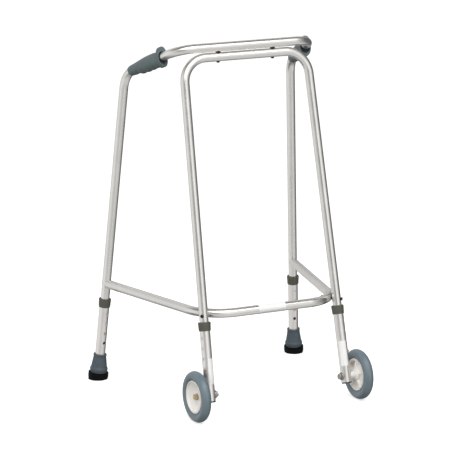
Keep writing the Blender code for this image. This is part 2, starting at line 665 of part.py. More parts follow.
def make_axle(name, side, leg, wheel, leg_tube, metals, plastics):
    """The axle bolt through the leg, and everything that is clamped on it."""
    steel, brass = metals
    white, black = plastics
    bore = AXLE_RADIUS + GAP
    up_in_wheel = wheel.matrix_world.to_3x3().inverted() @ leg_line(side, "front")[1]
    leg_axis = facing(Vector((0, 0, -WHEEL_OFFSET)), up_in_wheel)
    cut(leg_tube, disc(AXLE_RADIUS + HOLE_CLEARANCE, -2 * WHEEL_OFFSET, 0), wheel)
    saddle_face = -WHEEL_OFFSET - EXTENSION_RADIUS - SADDLE_THICKNESS
    wrap = EXTENSION_RADIUS * CLAMP_WRAP
    saddle = washer(SADDLE_RADIUS, bore, saddle_face, -WHEEL_OFFSET - wrap)
    saddle = make_object(f"axle_saddle_{name}", saddle, steel, wheel)
    spacer = washer(SPACER_RADIUS, bore, -WHEEL_OFFSET + wrap, BOSS_INNER_FACE - GAP)
    spacer = make_object(f"axle_spacer_{name}", spacer, white, wheel)
    for piece in (saddle, spacer):
        around = disc(EXTENSION_RADIUS + GAP, -3 * SADDLE_RADIUS, 3 * SADDLE_RADIUS)
        cut(piece, around, wheel, leg_axis)
    washer_low = BOSS_OUTER_FACE + GAP
    washer_high = washer_low + WASHER_THICKNESS
    outer_washer = washer(WASHER_RADIUS, bore, washer_low, washer_high)
    make_object(f"axle_washer_{name}", outer_washer, steel, wheel)
    nut_low = washer_high + GAP
    nut_high = nut_low + AXLE_NUT_BODY
    nut = make_object(f"axle_nut_{name}", disc(HEX_RADIUS, nut_low, nut_high, 6), brass, wheel)
    dome = [(0, nut_high - GAP), (HEX_RADIUS * AXLE_NUT_PROFILE[0][0], nut_high - GAP)]
    dome += [(HEX_RADIUS * r, nut_high + AXLE_NUT_DOME * h) for r, h in AXLE_NUT_PROFILE[1:]]
    dome.append((0, nut_high + AXLE_NUT_DOME))
    join(nut, turned(dome), wheel)
    cut(nut, disc(bore, 0, nut_high), wheel)
    head_face = saddle_face - GAP
    head = disc(HEX_RADIUS, head_face - AXLE_HEAD, head_face, 6)
    bolt = make_object(f"axle_bolt_{name}", head, steel, wheel)
    join(bolt, disc(AXLE_RADIUS, head_face - AXLE_HEAD / 2, nut_high - 2 * GAP), wheel)
    low = extension_span(side, "front")[0]
    stem = EXTENSION_BORE - GAP
    plug = [
        (0, low - END_PLUG_FLANGE),
        (EXTENSION_RADIUS, low - END_PLUG_FLANGE),
        (EXTENSION_RADIUS, low - GAP),
        (stem, low - GAP),
        (stem, low + END_PLUG_STEM),
        (0, low + END_PLUG_STEM),
    ]
    make_object(f"leg_end_plug_{name}", turned(plug), black, leg)


def grip_ring(frame, half_width, rise, drop):
    """An oval round the handle, in step with the tube's corners, with its own height above and below."""
    middle, side, other = frame
    along = side.cross(other)
    across = along.cross(UP).normalized()
    up = across.cross(along)
    points = []
    for corner in circle_ring(frame, 1.0):
        spoke = corner - middle
        height = rise if spoke.dot(up) > 0 else drop
        points.append(middle + half_width * spoke.dot(across) * across + height * spoke.dot(up) * up)
    return points


def make_grip(name, side, rubber):
    """A moulded grip with finger swells underneath and an oval flange in front of the hand."""
    frames = ring_frames(handle_path())
    if side > 0:
        frames = frames[::-1]
    bend_end, next_bend = frames[BEND_STEPS + 1], frames[BEND_STEPS + 2]
    length = (next_bend[0] - bend_end[0]).length
    bore = TUBE_RADIUS + GAP
    outer, inner = [], []
    for frame in frames[BEND_STEPS + 1 - GRIP_BEND_STEPS:BEND_STEPS + 1]:
        outer.append(grip_ring(frame, GRIP_REAR_HALF_WIDTH, GRIP_REAR_RADIUS, GRIP_REAR_RADIUS))
        inner.append(circle_ring(frame, bore))
    front = length - GRIP_FRONT_FROM_BEND
    body_length = front - FLANGE_THICKNESS - GAP
    rings = []
    for i in range(2 * GRIP_FINGERS + 1):
        share = i / (2 * GRIP_FINGERS)
        swell = math.sin(min(share / GRIP_FULL_AT, 1) * math.pi / 2)
        rise = GRIP_REAR_RADIUS + (GRIP_MIDDLE_RADIUS - GRIP_REAR_RADIUS) * swell
        half_width = GRIP_REAR_HALF_WIDTH + (GRIP_HALF_WIDTH - GRIP_REAR_HALF_WIDTH) * swell
        finger = GRIP_FINGER_DEPTH * (i % 2)
        rings.append((body_length * share, half_width, rise, rise + finger))
    for reach in (front - FLANGE_THICKNESS, front):
        rings.append((reach, FLANGE_HALF_WIDTH, FLANGE_HALF_HEIGHT, FLANGE_HALF_HEIGHT))
    for reach, half_width, rise, drop in rings:
        share = reach / length
        frame = [start.lerp(end, share) for start, end in zip(bend_end, next_bend)]
        outer.append(grip_ring(frame, half_width, rise, drop))
        ends = zip(circle_ring(bend_end, bore), circle_ring(next_bend, bore))
        inner.append([start.lerp(end, share) for start, end in ends])
    make_object(f"grip_{name}", shell(outer, inner), rubber)


def build():
    """Make every piece."""
    clear_scene()
    aluminium = finish("satin_aluminium", "#C9C8C4", 0.32, 1.0)
    pale_aluminium = finish("pale_aluminium", "#D6D3CF", 0.4, 1.0)
    steel = finish("zinc_steel", "#8C8B88", 0.35, 1.0)
    spring_steel = finish("spring_steel", "#6F6E6B", 0.3, 1.0)
    brass = finish("brass", "#C79F6B", 0.35, 1.0)
    grip_rubber = finish("grip_rubber", "#66767A", 0.6)
    collar_plastic = finish("collar_plastic", "#50554C", 0.55)
    ferrule_rubber = finish("ferrule_rubber", "#515C62", 0.65)
    black_rubber = finish("black_rubber", "#1C1D1D", 0.75)
    black_plastic = finish("black_plastic", "#232423", 0.5)
    tyre_rubber = finish("tyre_rubber", "#74838A", 0.6)
    hub_plastic = finish("hub_plastic", "#ECE7DF", 0.4)

    legs = {}
    for end in ("rear", "front"):
        for name, side in SIDES.items():
            origin = on_leg(side, end, BUTTON_HEIGHT)
            up = leg_line(side, end)[1]
            legs[end, name] = make_empty(f"leg_{end}_{name}", origin, up, button_side(side, end))

    make_handle_tube(legs, aluminium)
    make_front_leg_tube(legs, aluminium)
    make_lower_brace(aluminium)
    for name, side in SIDES.items():
        make_crossbar_fasteners(name, side, steel, black_plastic)
        make_brace_fasteners(name, side, steel, black_plastic)
        make_grip(name, side, grip_rubber)
        tubes = {}
        for end in ("rear", "front"):
            leg = legs[end, name]
            tubes[end] = make_leg(name, side, end, leg, pale_aluminium, collar_plastic)
            make_snap_button(name, end, leg, brass, spring_steel)
        make_ferrule(name, side, legs["rear", name], ferrule_rubber, black_rubber, steel)
        middle = Vector((side * (AXLE_LEG_HALF_WIDTH + WHEEL_OFFSET), AXLE_Y, WHEEL_RADIUS))
        wheel = make_empty(f"wheel_{name}", middle, Vector((side, 0, 0)), UP)
        make_tyre(name, wheel, tyre_rubber)
        make_hub(name, wheel, hub_plastic, steel)
        plastics = (hub_plastic, black_plastic)
        make_axle(name, side, legs["front", name], wheel, tubes["front"], (steel, brass), plastics)


build()
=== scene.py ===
"""A wheeled walking frame, piece by piece in the order it is put together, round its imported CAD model.

+Z is up, the floor is z = 0, and the user walks towards -Y. Sizes are in metres.
"""
import json
import math

import bmesh
import bpy
import numpy as np
from mathutils import Matrix, Vector


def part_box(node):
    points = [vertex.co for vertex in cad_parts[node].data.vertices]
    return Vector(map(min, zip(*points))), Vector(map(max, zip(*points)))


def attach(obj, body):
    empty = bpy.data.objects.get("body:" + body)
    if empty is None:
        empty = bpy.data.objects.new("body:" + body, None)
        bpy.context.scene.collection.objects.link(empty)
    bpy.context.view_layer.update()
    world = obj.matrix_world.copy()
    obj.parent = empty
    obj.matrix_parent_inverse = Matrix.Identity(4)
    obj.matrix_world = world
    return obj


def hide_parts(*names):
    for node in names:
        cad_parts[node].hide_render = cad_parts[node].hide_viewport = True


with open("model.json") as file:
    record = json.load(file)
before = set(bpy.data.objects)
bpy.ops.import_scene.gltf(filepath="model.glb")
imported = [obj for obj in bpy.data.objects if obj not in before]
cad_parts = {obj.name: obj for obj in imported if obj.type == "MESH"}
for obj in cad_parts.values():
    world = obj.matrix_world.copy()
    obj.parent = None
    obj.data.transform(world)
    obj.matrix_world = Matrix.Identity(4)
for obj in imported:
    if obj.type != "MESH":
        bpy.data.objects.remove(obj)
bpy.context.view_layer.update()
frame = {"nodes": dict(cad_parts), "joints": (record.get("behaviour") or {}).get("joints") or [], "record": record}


# ---- The studio -------------------------------------------------------------------------------
# A white floor and a soft light overhead. The surroundings are bright and dark in upright bands,
# as a studio's walls and screens are, and the bands show lengthwise in the satin tubes.
CAMERA_BEARING = math.radians(-27.3)
CAMERA_RISE = math.radians(13.2)
CAMERA_ROLL = math.radians(0.4)
CAMERA_DISTANCE = 6.74
CAMERA_AIM = Vector((-0.0189, 0.0423, 0.4088))
CAMERA_LENS = 215.3
FLOOR_HALF_SIZE = 30.0
FLOOR_WHITE = "#F2F2F1"
FLOOR_GREY = "#72726F"
FLOOR_GLOW = 0.55
OVERHEAD_SIZE = (4.0, 1.9)
OVERHEAD_ENERGY = 56
OVERHEAD_PLACE = (-0.3, -1.8, 3.0)
OVERHEAD_TILT = (math.radians(37), math.radians(-4), 0)
FILL_SIZE = 3.0
FILL_ENERGY = 55
FILL_PLACE = (-3.6, -2.6, 1.4)
FILL_FACES_FROM = (-3.6, -2.6, 1.0)
OVER_FROM, OVER_WHOLE = 0.36, 0.7
LOW_WHOLE = -0.28
WORLD_STRENGTH = 2.0
# Bands are (degrees, brightness). The walls and, under the horizon, the low bands go round the
# frame from the camera's bearing. The pitch bands go over it from the front upwards, and take
# over where a ray is steep.
WALL_BANDS = (
    (-180, 0.62), (-128, 0.80), (-75, 1.05), (-48, 0.88), (-24, 0.42), (-4, 0.38), (20, 1.25),
    (52, 1.15), (78, 0.50), (100, 0.16), (150, 0.14), (180, 0.62),
)
LOW_BANDS = (
    (-180, 0.66), (-128, 0.80), (-75, 1.06), (-30, 0.84), (0, 0.74), (30, 0.88), (60, 0.80),
    (84, 0.50), (105, 0.16), (150, 0.14), (180, 0.66),
)
PITCH_BANDS = (
    (-180, 0.66), (-148, 0.60), (-110, 0.16), (-84, 0.70), (-64, 0.92), (-38, 0.76), (-10, 0.52),
    (13, 0.80), (42, 0.95), (66, 0.75), (84, 0.24), (104, 0.16), (124, 0.55), (146, 1.0), (180, 0.66),
)


def linear(code, alpha=1.0):
    """The linear colour of an sRGB hex value."""
    channels = np.array([int(code[i:i + 2], 16) / 255 for i in (1, 3, 5)])
    low, high = channels / 12.92, ((channels + 0.055) / 1.055) ** 2.4
    return (*np.where(channels <= 0.04045, low, high).tolist(), alpha)


def add(tree, kind, sockets=None, **settings):
    """Adds a node, sets its own settings, then sets each named socket or links it from (node, output)."""
    node = tree.nodes.new(kind)
    for name, value in settings.items():
        setattr(node, name, value)
    for name, value in (sockets or {}).items():
        if isinstance(value, tuple) and isinstance(value[0], bpy.types.Node):
            tree.links.new(value[0].outputs[value[1]], node.inputs[name])
        else:
            node.inputs[name].default_value = value
    return node


def fill_ramp(ramp, stops):
    """Sets a colour ramp from (place from 0 to 1, colour) stops."""
    bands = ramp.color_ramp
    bands.interpolation = "EASE"
    for place, colour in stops[2:]:
        bands.elements.new(place)
    for element, (place, colour) in zip(bands.elements, sorted(stops)):
        element.position, element.color = place, colour


def grey(level):
    """An opaque colour with the same level in all three channels."""
    return (level, level, level, 1.0)


studio = bpy.data.worlds.new("studio")
studio.use_nodes = True
tree = studio.node_tree
tree.nodes.clear()
way = add(tree, "ShaderNodeTexCoord")
parts = add(tree, "ShaderNodeSeparateXYZ", {0: (way, "Generated")})
facing = math.atan2(-math.cos(CAMERA_BEARING), math.sin(CAMERA_BEARING))
turned_way = add(tree, "ShaderNodeVectorRotate", {"Vector": (way, "Generated"), "Angle": -facing},
                 rotation_type="Z_AXIS")
flat = add(tree, "ShaderNodeSeparateXYZ", {0: (turned_way, "Vector")})
bearing = add(tree, "ShaderNodeMath", {0: (flat, "Y"), 1: (flat, "X")}, operation="ARCTAN2")
share = add(tree, "ShaderNodeMapRange", {"Value": (bearing, "Value"), "From Min": -math.pi,
                                         "From Max": math.pi})
front = add(tree, "ShaderNodeMath", {0: (parts, "Y"), 1: -1.0}, operation="MULTIPLY")
pitch = add(tree, "ShaderNodeMath", {0: (parts, "Z"), 1: (front, "Value")}, operation="ARCTAN2")
tipped = add(tree, "ShaderNodeMapRange", {"Value": (pitch, "Value"), "From Min": -math.pi,
                                          "From Max": math.pi})
bands = {}
for name, place, levels in (("walls", share, WALL_BANDS), ("low", share, LOW_BANDS),
                            ("over", tipped, PITCH_BANDS)):
    bands[name] = add(tree, "ShaderNodeValToRGB", {"Fac": (place, "Result")})
    fill_ramp(bands[name], [((degrees + 180) / 360, grey(level / WORLD_STRENGTH))
                            for degrees, level in levels])
lift = add(tree, "ShaderNodeMath", {0: (parts, "Z")}, operation="ABSOLUTE")
above = add(tree, "ShaderNodeMapRange", {"Value": (lift, "Value"), "From Min": OVER_FROM,
                                         "From Max": OVER_WHOLE}, interpolation_type="SMOOTHSTEP")
below = add(tree, "ShaderNodeMapRange", {"Value": (parts, "Z"), "From Min": 0.0,
                                         "From Max": LOW_WHOLE}, interpolation_type="SMOOTHSTEP")
sides = add(tree, "ShaderNodeMix", {0: (below, "Result"), 6: (bands["walls"], "Color"),
                                    7: (bands["low"], "Color")}, data_type="RGBA")
round_about = add(tree, "ShaderNodeMix", {0: (above, "Result"), 6: (sides, 2),
                                          7: (bands["over"], "Color")}, data_type="RGBA")
light = add(tree, "ShaderNodeBackground", {"Color": (round_about, 2), "Strength": WORLD_STRENGTH})
seen = add(tree, "ShaderNodeBackground", {"Color": (1, 1, 1, 1), "Strength": 1.0})
ray = add(tree, "ShaderNodeLightPath")
choice = add(tree, "ShaderNodeMixShader", {0: (ray, "Is Camera Ray"), 1: (light, 0), 2: (seen, 0)})
add(tree, "ShaderNodeOutputWorld", {"Surface": (choice, 0)})
scene = bpy.context.scene
scene.world = studio
scene.view_settings.view_transform = "Standard"

overhead = bpy.data.lights.new("overhead", "AREA")
overhead.shape = "RECTANGLE"
overhead.size, overhead.size_y = OVERHEAD_SIZE
overhead.energy = OVERHEAD_ENERGY
overhead_object = bpy.data.objects.new("overhead", overhead)
overhead_object.location = OVERHEAD_PLACE
overhead_object.rotation_euler = OVERHEAD_TILT
scene.collection.objects.link(overhead_object)
fill = bpy.data.lights.new("fill", "AREA")
fill.size = FILL_SIZE
fill.energy = FILL_ENERGY
fill_object = bpy.data.objects.new("fill", fill)
fill_object.location = FILL_PLACE
fill_object.rotation_euler = Vector(FILL_FACES_FROM).to_track_quat("Z", "Y").to_euler()
fill_object.visible_glossy = False
scene.collection.objects.link(fill_object)

floor_mesh = bpy.data.meshes.new("floor")
corners = [(x * FLOOR_HALF_SIZE, y * FLOOR_HALF_SIZE, 0)
           for x, y in ((-1, -1), (1, -1), (1, 1), (-1, 1))]
floor_mesh.from_pydata(corners, [], [(0, 1, 2, 3)])
paint = bpy.data.materials.new("white_floor")
paint.use_nodes = True
tree = paint.node_tree
tree.nodes.clear()
shown_white = add(tree, "ShaderNodeBsdfDiffuse", {"Color": linear(FLOOR_WHITE)})
glow = add(tree, "ShaderNodeEmission", {"Color": grey(1.0), "Strength": FLOOR_GLOW})
bright = add(tree, "ShaderNodeAddShader", {0: (shown_white, 0), 1: (glow, 0)})
lit = add(tree, "ShaderNodeBsdfDiffuse", {"Color": linear(FLOOR_GREY)})
ray = add(tree, "ShaderNodeLightPath")
choice = add(tree, "ShaderNodeMixShader", {0: (ray, "Is Camera Ray"), 1: (lit, 0), 2: (bright, 0)})
add(tree, "ShaderNodeOutputMaterial", {"Surface": (choice, 0)})
floor_mesh.materials.append(paint)
floor = bpy.data.objects.new("floor", floor_mesh)
scene.collection.objects.link(floor)
floor.visible_glossy = False

camera = bpy.data.cameras.new("camera")
camera.lens = CAMERA_LENS
camera.sensor_width = 36.0
camera.clip_end = 100.0
camera_object = bpy.data.objects.new("camera", camera)
scene.collection.objects.link(camera_object)
back = Vector((
    math.sin(CAMERA_BEARING) * math.cos(CAMERA_RISE),
    -math.cos(CAMERA_BEARING) * math.cos(CAMERA_RISE),
    math.sin(CAMERA_RISE),
))
level = back.to_track_quat("Z", "Y").to_matrix().to_4x4()
camera_object.matrix_world = (
    Matrix.Translation(CAMERA_AIM + back * CAMERA_DISTANCE) @ level @ Matrix.Rotation(CAMERA_ROLL, 4, "Z")
)
scene.camera = camera_object


# ---- Frame tubes ------------------------------------------------------------------------------
# Three lengths of 22.2 mm aluminium tube, cold bent and satin anodised: the handle tube, the
# front leg tube and the lower brace. The brace's ends are shaped to sit on the rear legs.
TUBE_RADIUS = 0.0111
TUBE_BORE = 0.0097
TUBE_SIDES = 64
BEND_STEPS = 28
UPPER_BEND_RADIUS = 0.060
BRACE_BEND_RADIUS = 0.095
HANDLE_REAR_HEIGHT = 0.788
HANDLE_FRONT_HALF_WIDTH = 0.183
BRACE_HEIGHT = 0.250
BRACE_BOLT_BEARING = math.radians(44)
BRACE_TO_LEG_GAP = 0.0006
BUTTON_HEIGHT = 0.122
BUTTON_TO_TUBE_END = 0.013
CROSSBAR_GAP = 0.002
GAP = 0.0003
LINES_PER_METRE = (1400, 1400, 9)     # across the tube, twice, and along it
SIDES = {"left": -1, "right": 1}
UP = np.array((0.0, 0.0, 1.0))
joints = {joint["name"]: joint for joint in frame["joints"]}


def unit(v):
    """Vectors of length one in the same directions."""
    return v / np.linalg.norm(v, axis=-1, keepdims=True)


def middle(node):
    """The middle of a CAD node's box."""
    low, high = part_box(node)
    return (np.array(low) + np.array(high)) / 2


def leg_axis(end, name):
    """The middle of a leg extension and the direction up the leg, which is against its slide."""
    slide = joints[f"leg_{end}_{name}_height"]
    return middle(f"leg_extension_{end}_{name}"), unit(-np.array(slide["axis"], float))


def on_leg(end, name, height):
    """The point of a leg's axis at a height above the floor."""
    point, up = leg_axis(end, name)
    return point + up * (height - point[2]) / up[2]


def rounded(corners, radius):
    """Straight lines between corners with an arc at each corner in between: the arc starts
    radius * tan(turn / 2) before the corner and turns about the axis across both lines."""
    path = [corners[0][None]]
    for before, corner, after in zip(corners, corners[1:], corners[2:]):
        back, ahead = unit(before - corner), unit(after - corner)
        turn = math.pi - math.acos(np.dot(back, ahead))
        start = corner + back * radius * math.tan(turn / 2)
        inward = unit(ahead - np.dot(ahead, back) * back)
        a = np.linspace(0, turn, BEND_STEPS + 1)[:, None]
        path.append(start - back * radius * np.sin(a) + inward * radius * (1 - np.cos(a)))
    path.append(corners[-1][None])
    return np.concatenate(path)


def carried(path):
    """At each point of a path, the way ahead and two directions across it, each carried on from
    the point before by taking away what points ahead."""
    steps = unit(np.diff(path, axis=0))
    ahead = unit(np.concatenate([steps[:1], steps[:-1] + steps[1:], steps[-1:]]))
    across = np.empty_like(path)
    across[0] = unit(np.cross(ahead[0], (0, 1, 0)))
    for i in range(1, len(path)):
        across[i] = unit(across[i - 1] - ahead[i] * np.dot(across[i - 1], ahead[i]))
    return ahead, across, np.cross(ahead, across)


def distances(path):
    """How far along a path each of its points is."""
    return np.concatenate([[0], np.cumsum(np.linalg.norm(np.diff(path, axis=0), axis=1))])


def bent_tube(path):
    """Circles of the outer and the inner radius round each point of a path, the inner ones in
    reverse, so that the rows close on themselves. Also gives each point's place on the tube:
    across it as radius * (cos, sin) and along it as the distance travelled."""
    _, across, other = carried(path)
    a = np.linspace(0, 2 * math.pi, TUBE_SIDES, endpoint=False)
    spokes = np.cos(a)[None, :, None] * across[:, None] + np.sin(a)[None, :, None] * other[:, None]
    along = np.repeat(distances(path)[:, None], TUBE_SIDES, axis=1)
    circle = np.broadcast_to(np.stack([np.cos(a), np.sin(a)], -1), (len(path), TUBE_SIDES, 2))
    places = np.concatenate([TUBE_RADIUS * circle, along[:, :, None]], axis=2)
    outer = path[:, None] + TUBE_RADIUS * spokes
    inner = path[:, None] + TUBE_BORE * spokes
    return np.concatenate([outer, inner[::-1]]), np.concatenate([places, places[::-1]])


def grid_faces(rows, columns, closed):
    """Faces between the rows of a grid whose columns go all the way round. Where the rows are
    closed, the last one joins the first."""
    i, j = np.meshgrid(np.arange(rows if closed else rows - 1), np.arange(columns), indexing="ij")
    next_i, next_j = (i + 1) % rows, (j + 1) % columns
    quads = [i * columns + j, i * columns + next_j, next_i * columns + next_j, next_i * columns + j]
    return np.stack(quads, -1).reshape(-1, 4)


def make_piece(node, word, shells, material, places=None, sharp=32, body=None):
    """Makes one object from closed shells, which are grids of points or (points, faces). It is
    named for the CAD node that it stands for and a word, and rides on that node's body. A piece
    with no node has a name of its own, no word, and the body that it is given."""
    name = f"{node}_{word}" if word else node
    points, faces, count = [], [], 0
    for shell in shells:
        if isinstance(shell, tuple):
            shell_points, shell_faces = shell
        else:
            shell_points = shell.reshape(-1, 3)
            shell_faces = grid_faces(shell.shape[0], shell.shape[1], True)
        points.append(shell_points)
        faces.append(shell_faces + count)
        count += len(shell_points)
    mesh = bpy.data.meshes.new(name)
    mesh.from_pydata(np.concatenate(points).tolist(), [], np.concatenate(faces).tolist())
    if places is not None:
        layer = mesh.attributes.new("place_on_tube", "FLOAT_VECTOR", "POINT")
        layer.data.foreach_set("vector", places.reshape(-1).astype(np.float32))
    solid = bmesh.new()
    solid.from_mesh(mesh)
    bmesh.ops.remove_doubles(solid, verts=solid.verts, dist=2e-6)
    bmesh.ops.dissolve_degenerate(solid, edges=solid.edges, dist=1e-7)
    bmesh.ops.recalc_face_normals(solid, faces=solid.faces)
    solid.to_mesh(mesh)
    solid.free()
    mesh.shade_smooth()
    mesh.set_sharp_from_angle(angle=math.radians(sharp))
    mesh.materials.append(material)
    piece = bpy.data.objects.new(name, mesh)
    scene.collection.objects.link(piece)
    if body is None:
        bodies = frame["record"]["behaviour"]["bodies"]
        body = next(found for found, nodes in bodies.items() if node in nodes)
        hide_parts(node)
    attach(piece, body)


def new_material(name):
    """A material, its node tree and its Principled shader."""
    material = bpy.data.materials.new(name)
    material.use_nodes = True
    return material, material.node_tree, material.node_tree.nodes["Principled BSDF"]


def vary(tree, shader, colour, tint, gloss):
    """Lets patterns scale the shader's colour and set its roughness. Each of tint and gloss is a
    node, its output, two levels of the pattern and what the surface gets at those levels."""
    spans = [add(tree, "ShaderNodeMapRange", {"Value": (node, output), "From Min": levels[0],
                                              "From Max": levels[1], "To Min": gets[0], "To Max": gets[1]})
             for node, output, levels, gets in (tint, gloss)]
    shaded = add(tree, "ShaderNodeVectorMath", {0: linear(colour)[:3], "Scale": (spans[0], "Result")},
                 operation="SCALE")
    tree.links.new(shaded.outputs["Vector"], shader.inputs["Base Color"])
    tree.links.new(spans[1].outputs["Result"], shader.inputs["Roughness"])


def anodised_aluminium(name, colour, roughness):
    """Drawn aluminium tube, etched and anodised clear. The etch gives a satin glow and the die
    leaves fine lines along the tube. Real lines are about 0.1 mm apart, and these are 0.7 mm, so
    that they show."""
    metal, tree, shader = new_material(name)
    shader.inputs["Metallic"].default_value = 1.0
    spot = add(tree, "ShaderNodeAttribute", attribute_name="place_on_tube")
    lines_at = add(tree, "ShaderNodeMapping", {"Vector": (spot, "Vector"), "Scale": LINES_PER_METRE})
    lines = add(tree, "ShaderNodeTexNoise", {"Vector": (lines_at, "Vector"), "Scale": 1.0, "Detail": 2.0})
    body_at = add(tree, "ShaderNodeTexCoord")
    cloud = add(tree, "ShaderNodeTexNoise", {"Vector": (body_at, "Object"), "Scale": 22.0, "Detail": 3.0})
    mixed = add(tree, "ShaderNodeMath", {0: (lines, "Fac"), 1: (cloud, "Fac")}, operation="ADD")
    vary(tree, shader, colour, (mixed, "Value", (0.7, 1.3), (0.93, 1.05)),
         (mixed, "Value", (0.7, 1.3), (roughness - 0.05, roughness + 0.06)))
    grooves = add(tree, "ShaderNodeBump", {"Height": (lines, "Fac"), "Strength": 0.10, "Distance": 0.0001})
    tree.links.new(grooves.outputs["Normal"], shader.inputs["Normal"])
    return metal


satin_aluminium = anodised_aluminium("satin_anodised_aluminium", "#DDDBD7", 0.27)

between_crossbars = middle("crossbar_spacer_left")
crossbar_y = between_crossbars[1]
upper_crossbar_z = between_crossbars[2] + TUBE_RADIUS + CROSSBAR_GAP / 2
lower_crossbar_z = between_crossbars[2] - TUBE_RADIUS - CROSSBAR_GAP / 2


def tube_end(end, name):
    """The lower end of a frame tube, inside its leg extension."""
    return on_leg(end, name, BUTTON_HEIGHT) - leg_axis(end, name)[1] * BUTTON_TO_TUBE_END


handle_corners = []
for name, side in SIDES.items():
    half = [
        tube_end("rear", name),
        on_leg("rear", name, HANDLE_REAR_HEIGHT),
        np.array((side * HANDLE_FRONT_HALF_WIDTH, crossbar_y, upper_crossbar_z)),
    ]
    handle_corners += half[::-side]
handle_path = rounded(handle_corners, UPPER_BEND_RADIUS)
tube, places = bent_tube(handle_path)
make_piece("handle_tube", "bent", [tube], satin_aluminium, places)

front_corners = []
for name, side in SIDES.items():
    front_corners += [tube_end("front", name), on_leg("front", name, lower_crossbar_z)][::-side]
tube, places = bent_tube(rounded(front_corners, UPPER_BEND_RADIUS))
make_piece("front_leg_tube", "bent", [tube], satin_aluminium, places)


def brace_corner(name):
    """The centre of the brace's corner bend, inside the front leg, and the way out through both."""
    side = SIDES[name]
    outward = np.array((side * math.sin(BRACE_BOLT_BEARING), -math.cos(BRACE_BOLT_BEARING), 0))
    reach = BRACE_BEND_RADIUS + 2 * TUBE_RADIUS + BRACE_TO_LEG_GAP
    return on_leg("front", name, BRACE_HEIGHT) - outward * reach, outward


def brace_side(name):
    """The brace's end on the rear leg's axis, and the way forwards from it that just touches the
    corner bend."""
    end = on_leg("rear", name, BRACE_HEIGHT)
    to_centre = (brace_corner(name)[0] - end)[:2]
    swing = SIDES[name] * math.asin(BRACE_BEND_RADIUS / np.linalg.norm(to_centre))
    x, y = unit(to_centre)
    forward = (x * math.cos(swing) - y * math.sin(swing), x * math.sin(swing) + y * math.cos(swing), 0)
    return end, np.array(forward)


def shaped_to_leg(ring, forward, end, name):
    """Moves the points of a tube's last ring along the tube until each is on the leg: the
    distance t solves |across(point + t * forward)| = leg radius, nearer the tube."""
    point, up = leg_axis(end, name)
    way = forward - np.dot(forward, up) * up
    offset = ring - point
    offset = offset - (offset @ up)[:, None] * up
    a, b = way @ way, offset @ way
    c = (offset * offset).sum(-1) - (TUBE_RADIUS + GAP) ** 2
    return ring + ((-b + np.sqrt(b * b - a * c)) / a)[:, None] * forward


brace_corners = []
for name, side in SIDES.items():
    end, forward = brace_side(name)
    front_y = brace_corner(name)[0][1] - BRACE_BEND_RADIUS
    brace_corners += [end, end + forward * (front_y - end[1]) / forward[1]][::-side]
tube, places = bent_tube(rounded(brace_corners, BRACE_BEND_RADIUS))
last = len(tube) // 2 - 1
for row in (0, 2 * last + 1):
    tube[row] = shaped_to_leg(tube[row], brace_side("left")[1], "rear", "left")
for row in (last, last + 1):
    tube[row] = shaped_to_leg(tube[row], brace_side("right")[1], "rear", "right")
make_piece("lower_brace", "bent", [tube], satin_aluminium, places)


# ---- Bolts, nuts and blocks of the frame --------------------------------------------------------
# Dome-headed bolts of blackened steel. Two go up through the lower crossbar into nuts in the
# upper one, with a black block between the bars. Two hold each corner and each end of the brace.
BOLT_RADIUS = 0.003
BOLT_HEAD_RADIUS = 0.0046
BOLT_HEAD_HEIGHT = 0.0034
BOLT_SOCKET_RADIUS = 0.0019
BOLT_SOCKET_DEPTH = 0.0016
NUT_RADIUS = 0.0055
NUT_HEIGHT = 0.0045
BRACE_NUT_CLEARANCE = 0.0009
BRACE_BOLT_IN_PLUG = 0.022
BLOCK_RADIUS = 0.006
ROUND_SIDES = 48


def softened(corners, reach, steps=5):
    """Rounds the corners of a closed outline with the curve (1 - t)^2 A + 2 t (1 - t) C + t^2 B,
    from A, a reach before the corner C, to B, a reach after it."""
    corners = np.array(corners, float)
    reach = np.broadcast_to(np.array(reach, float), len(corners))[:, None]
    back, ahead = np.roll(corners, 1, 0) - corners, np.roll(corners, -1, 0) - corners
    back_length = np.linalg.norm(back, axis=1, keepdims=True) + 1e-12
    ahead_length = np.linalg.norm(ahead, axis=1, keepdims=True) + 1e-12
    a = corners + back * np.minimum(reach / back_length, 0.5)
    b = corners + ahead * np.minimum(reach / ahead_length, 0.5)
    t = np.linspace(0, 1, steps)[None, :, None]
    curves = (1 - t) ** 2 * a[:, None] + 2 * t * (1 - t) * corners[:, None] + t ** 2 * b[:, None]
    return curves.reshape(-1, corners.shape[1])


def lathed(profile, sides=ROUND_SIDES):
    """Turns (radius, height) points about Z: x = r cos a, y = r sin a. Rows follow the profile."""
    r, h = np.array(profile, float).T
    a = np.linspace(0, 2 * math.pi, sides, endpoint=False)
    rows = [r[:, None] * np.cos(a), r[:, None] * np.sin(a), np.repeat(h[:, None], sides, 1)]
    return np.stack(rows, -1)


def placed(points, origin, z_way, x_way=(0.31, 0.52, 0.79)):
    """Moves points from a piece's own frame to origin, with Z along z_way and X near x_way."""
    z = unit(np.array(z_way, float))
    x = np.array(x_way, float)
    x = unit(x - np.dot(x, z) * z)
    return np.array(origin) + points @ np.stack([x, np.cross(z, x), z])


def hex_turned(profile, chamfer, sides=72):
    """Turns a profile about Z, but no further out than a hexagon: the hexagon's edge is at
    a / cos(angle from the middle of its side). The chamfer is a 30 degree cone at each end."""
    grid = lathed(profile, sides)
    r = np.hypot(grid[..., 0], grid[..., 1])
    a = np.linspace(0, 2 * math.pi, sides, endpoint=False)
    flat = r.max() * math.cos(math.pi / 6)
    edge = flat / np.cos((a + math.pi / 6) % (math.pi / 3) - math.pi / 6)
    h = grid[..., 2]
    cone = flat + (np.minimum(h - h.min(), h.max() - h) + chamfer) / math.tan(math.radians(30))
    limit = np.minimum(edge[None], cone)
    grid[..., :2] *= np.minimum(1, limit / np.maximum(r, 1e-9))[..., None]
    return grid


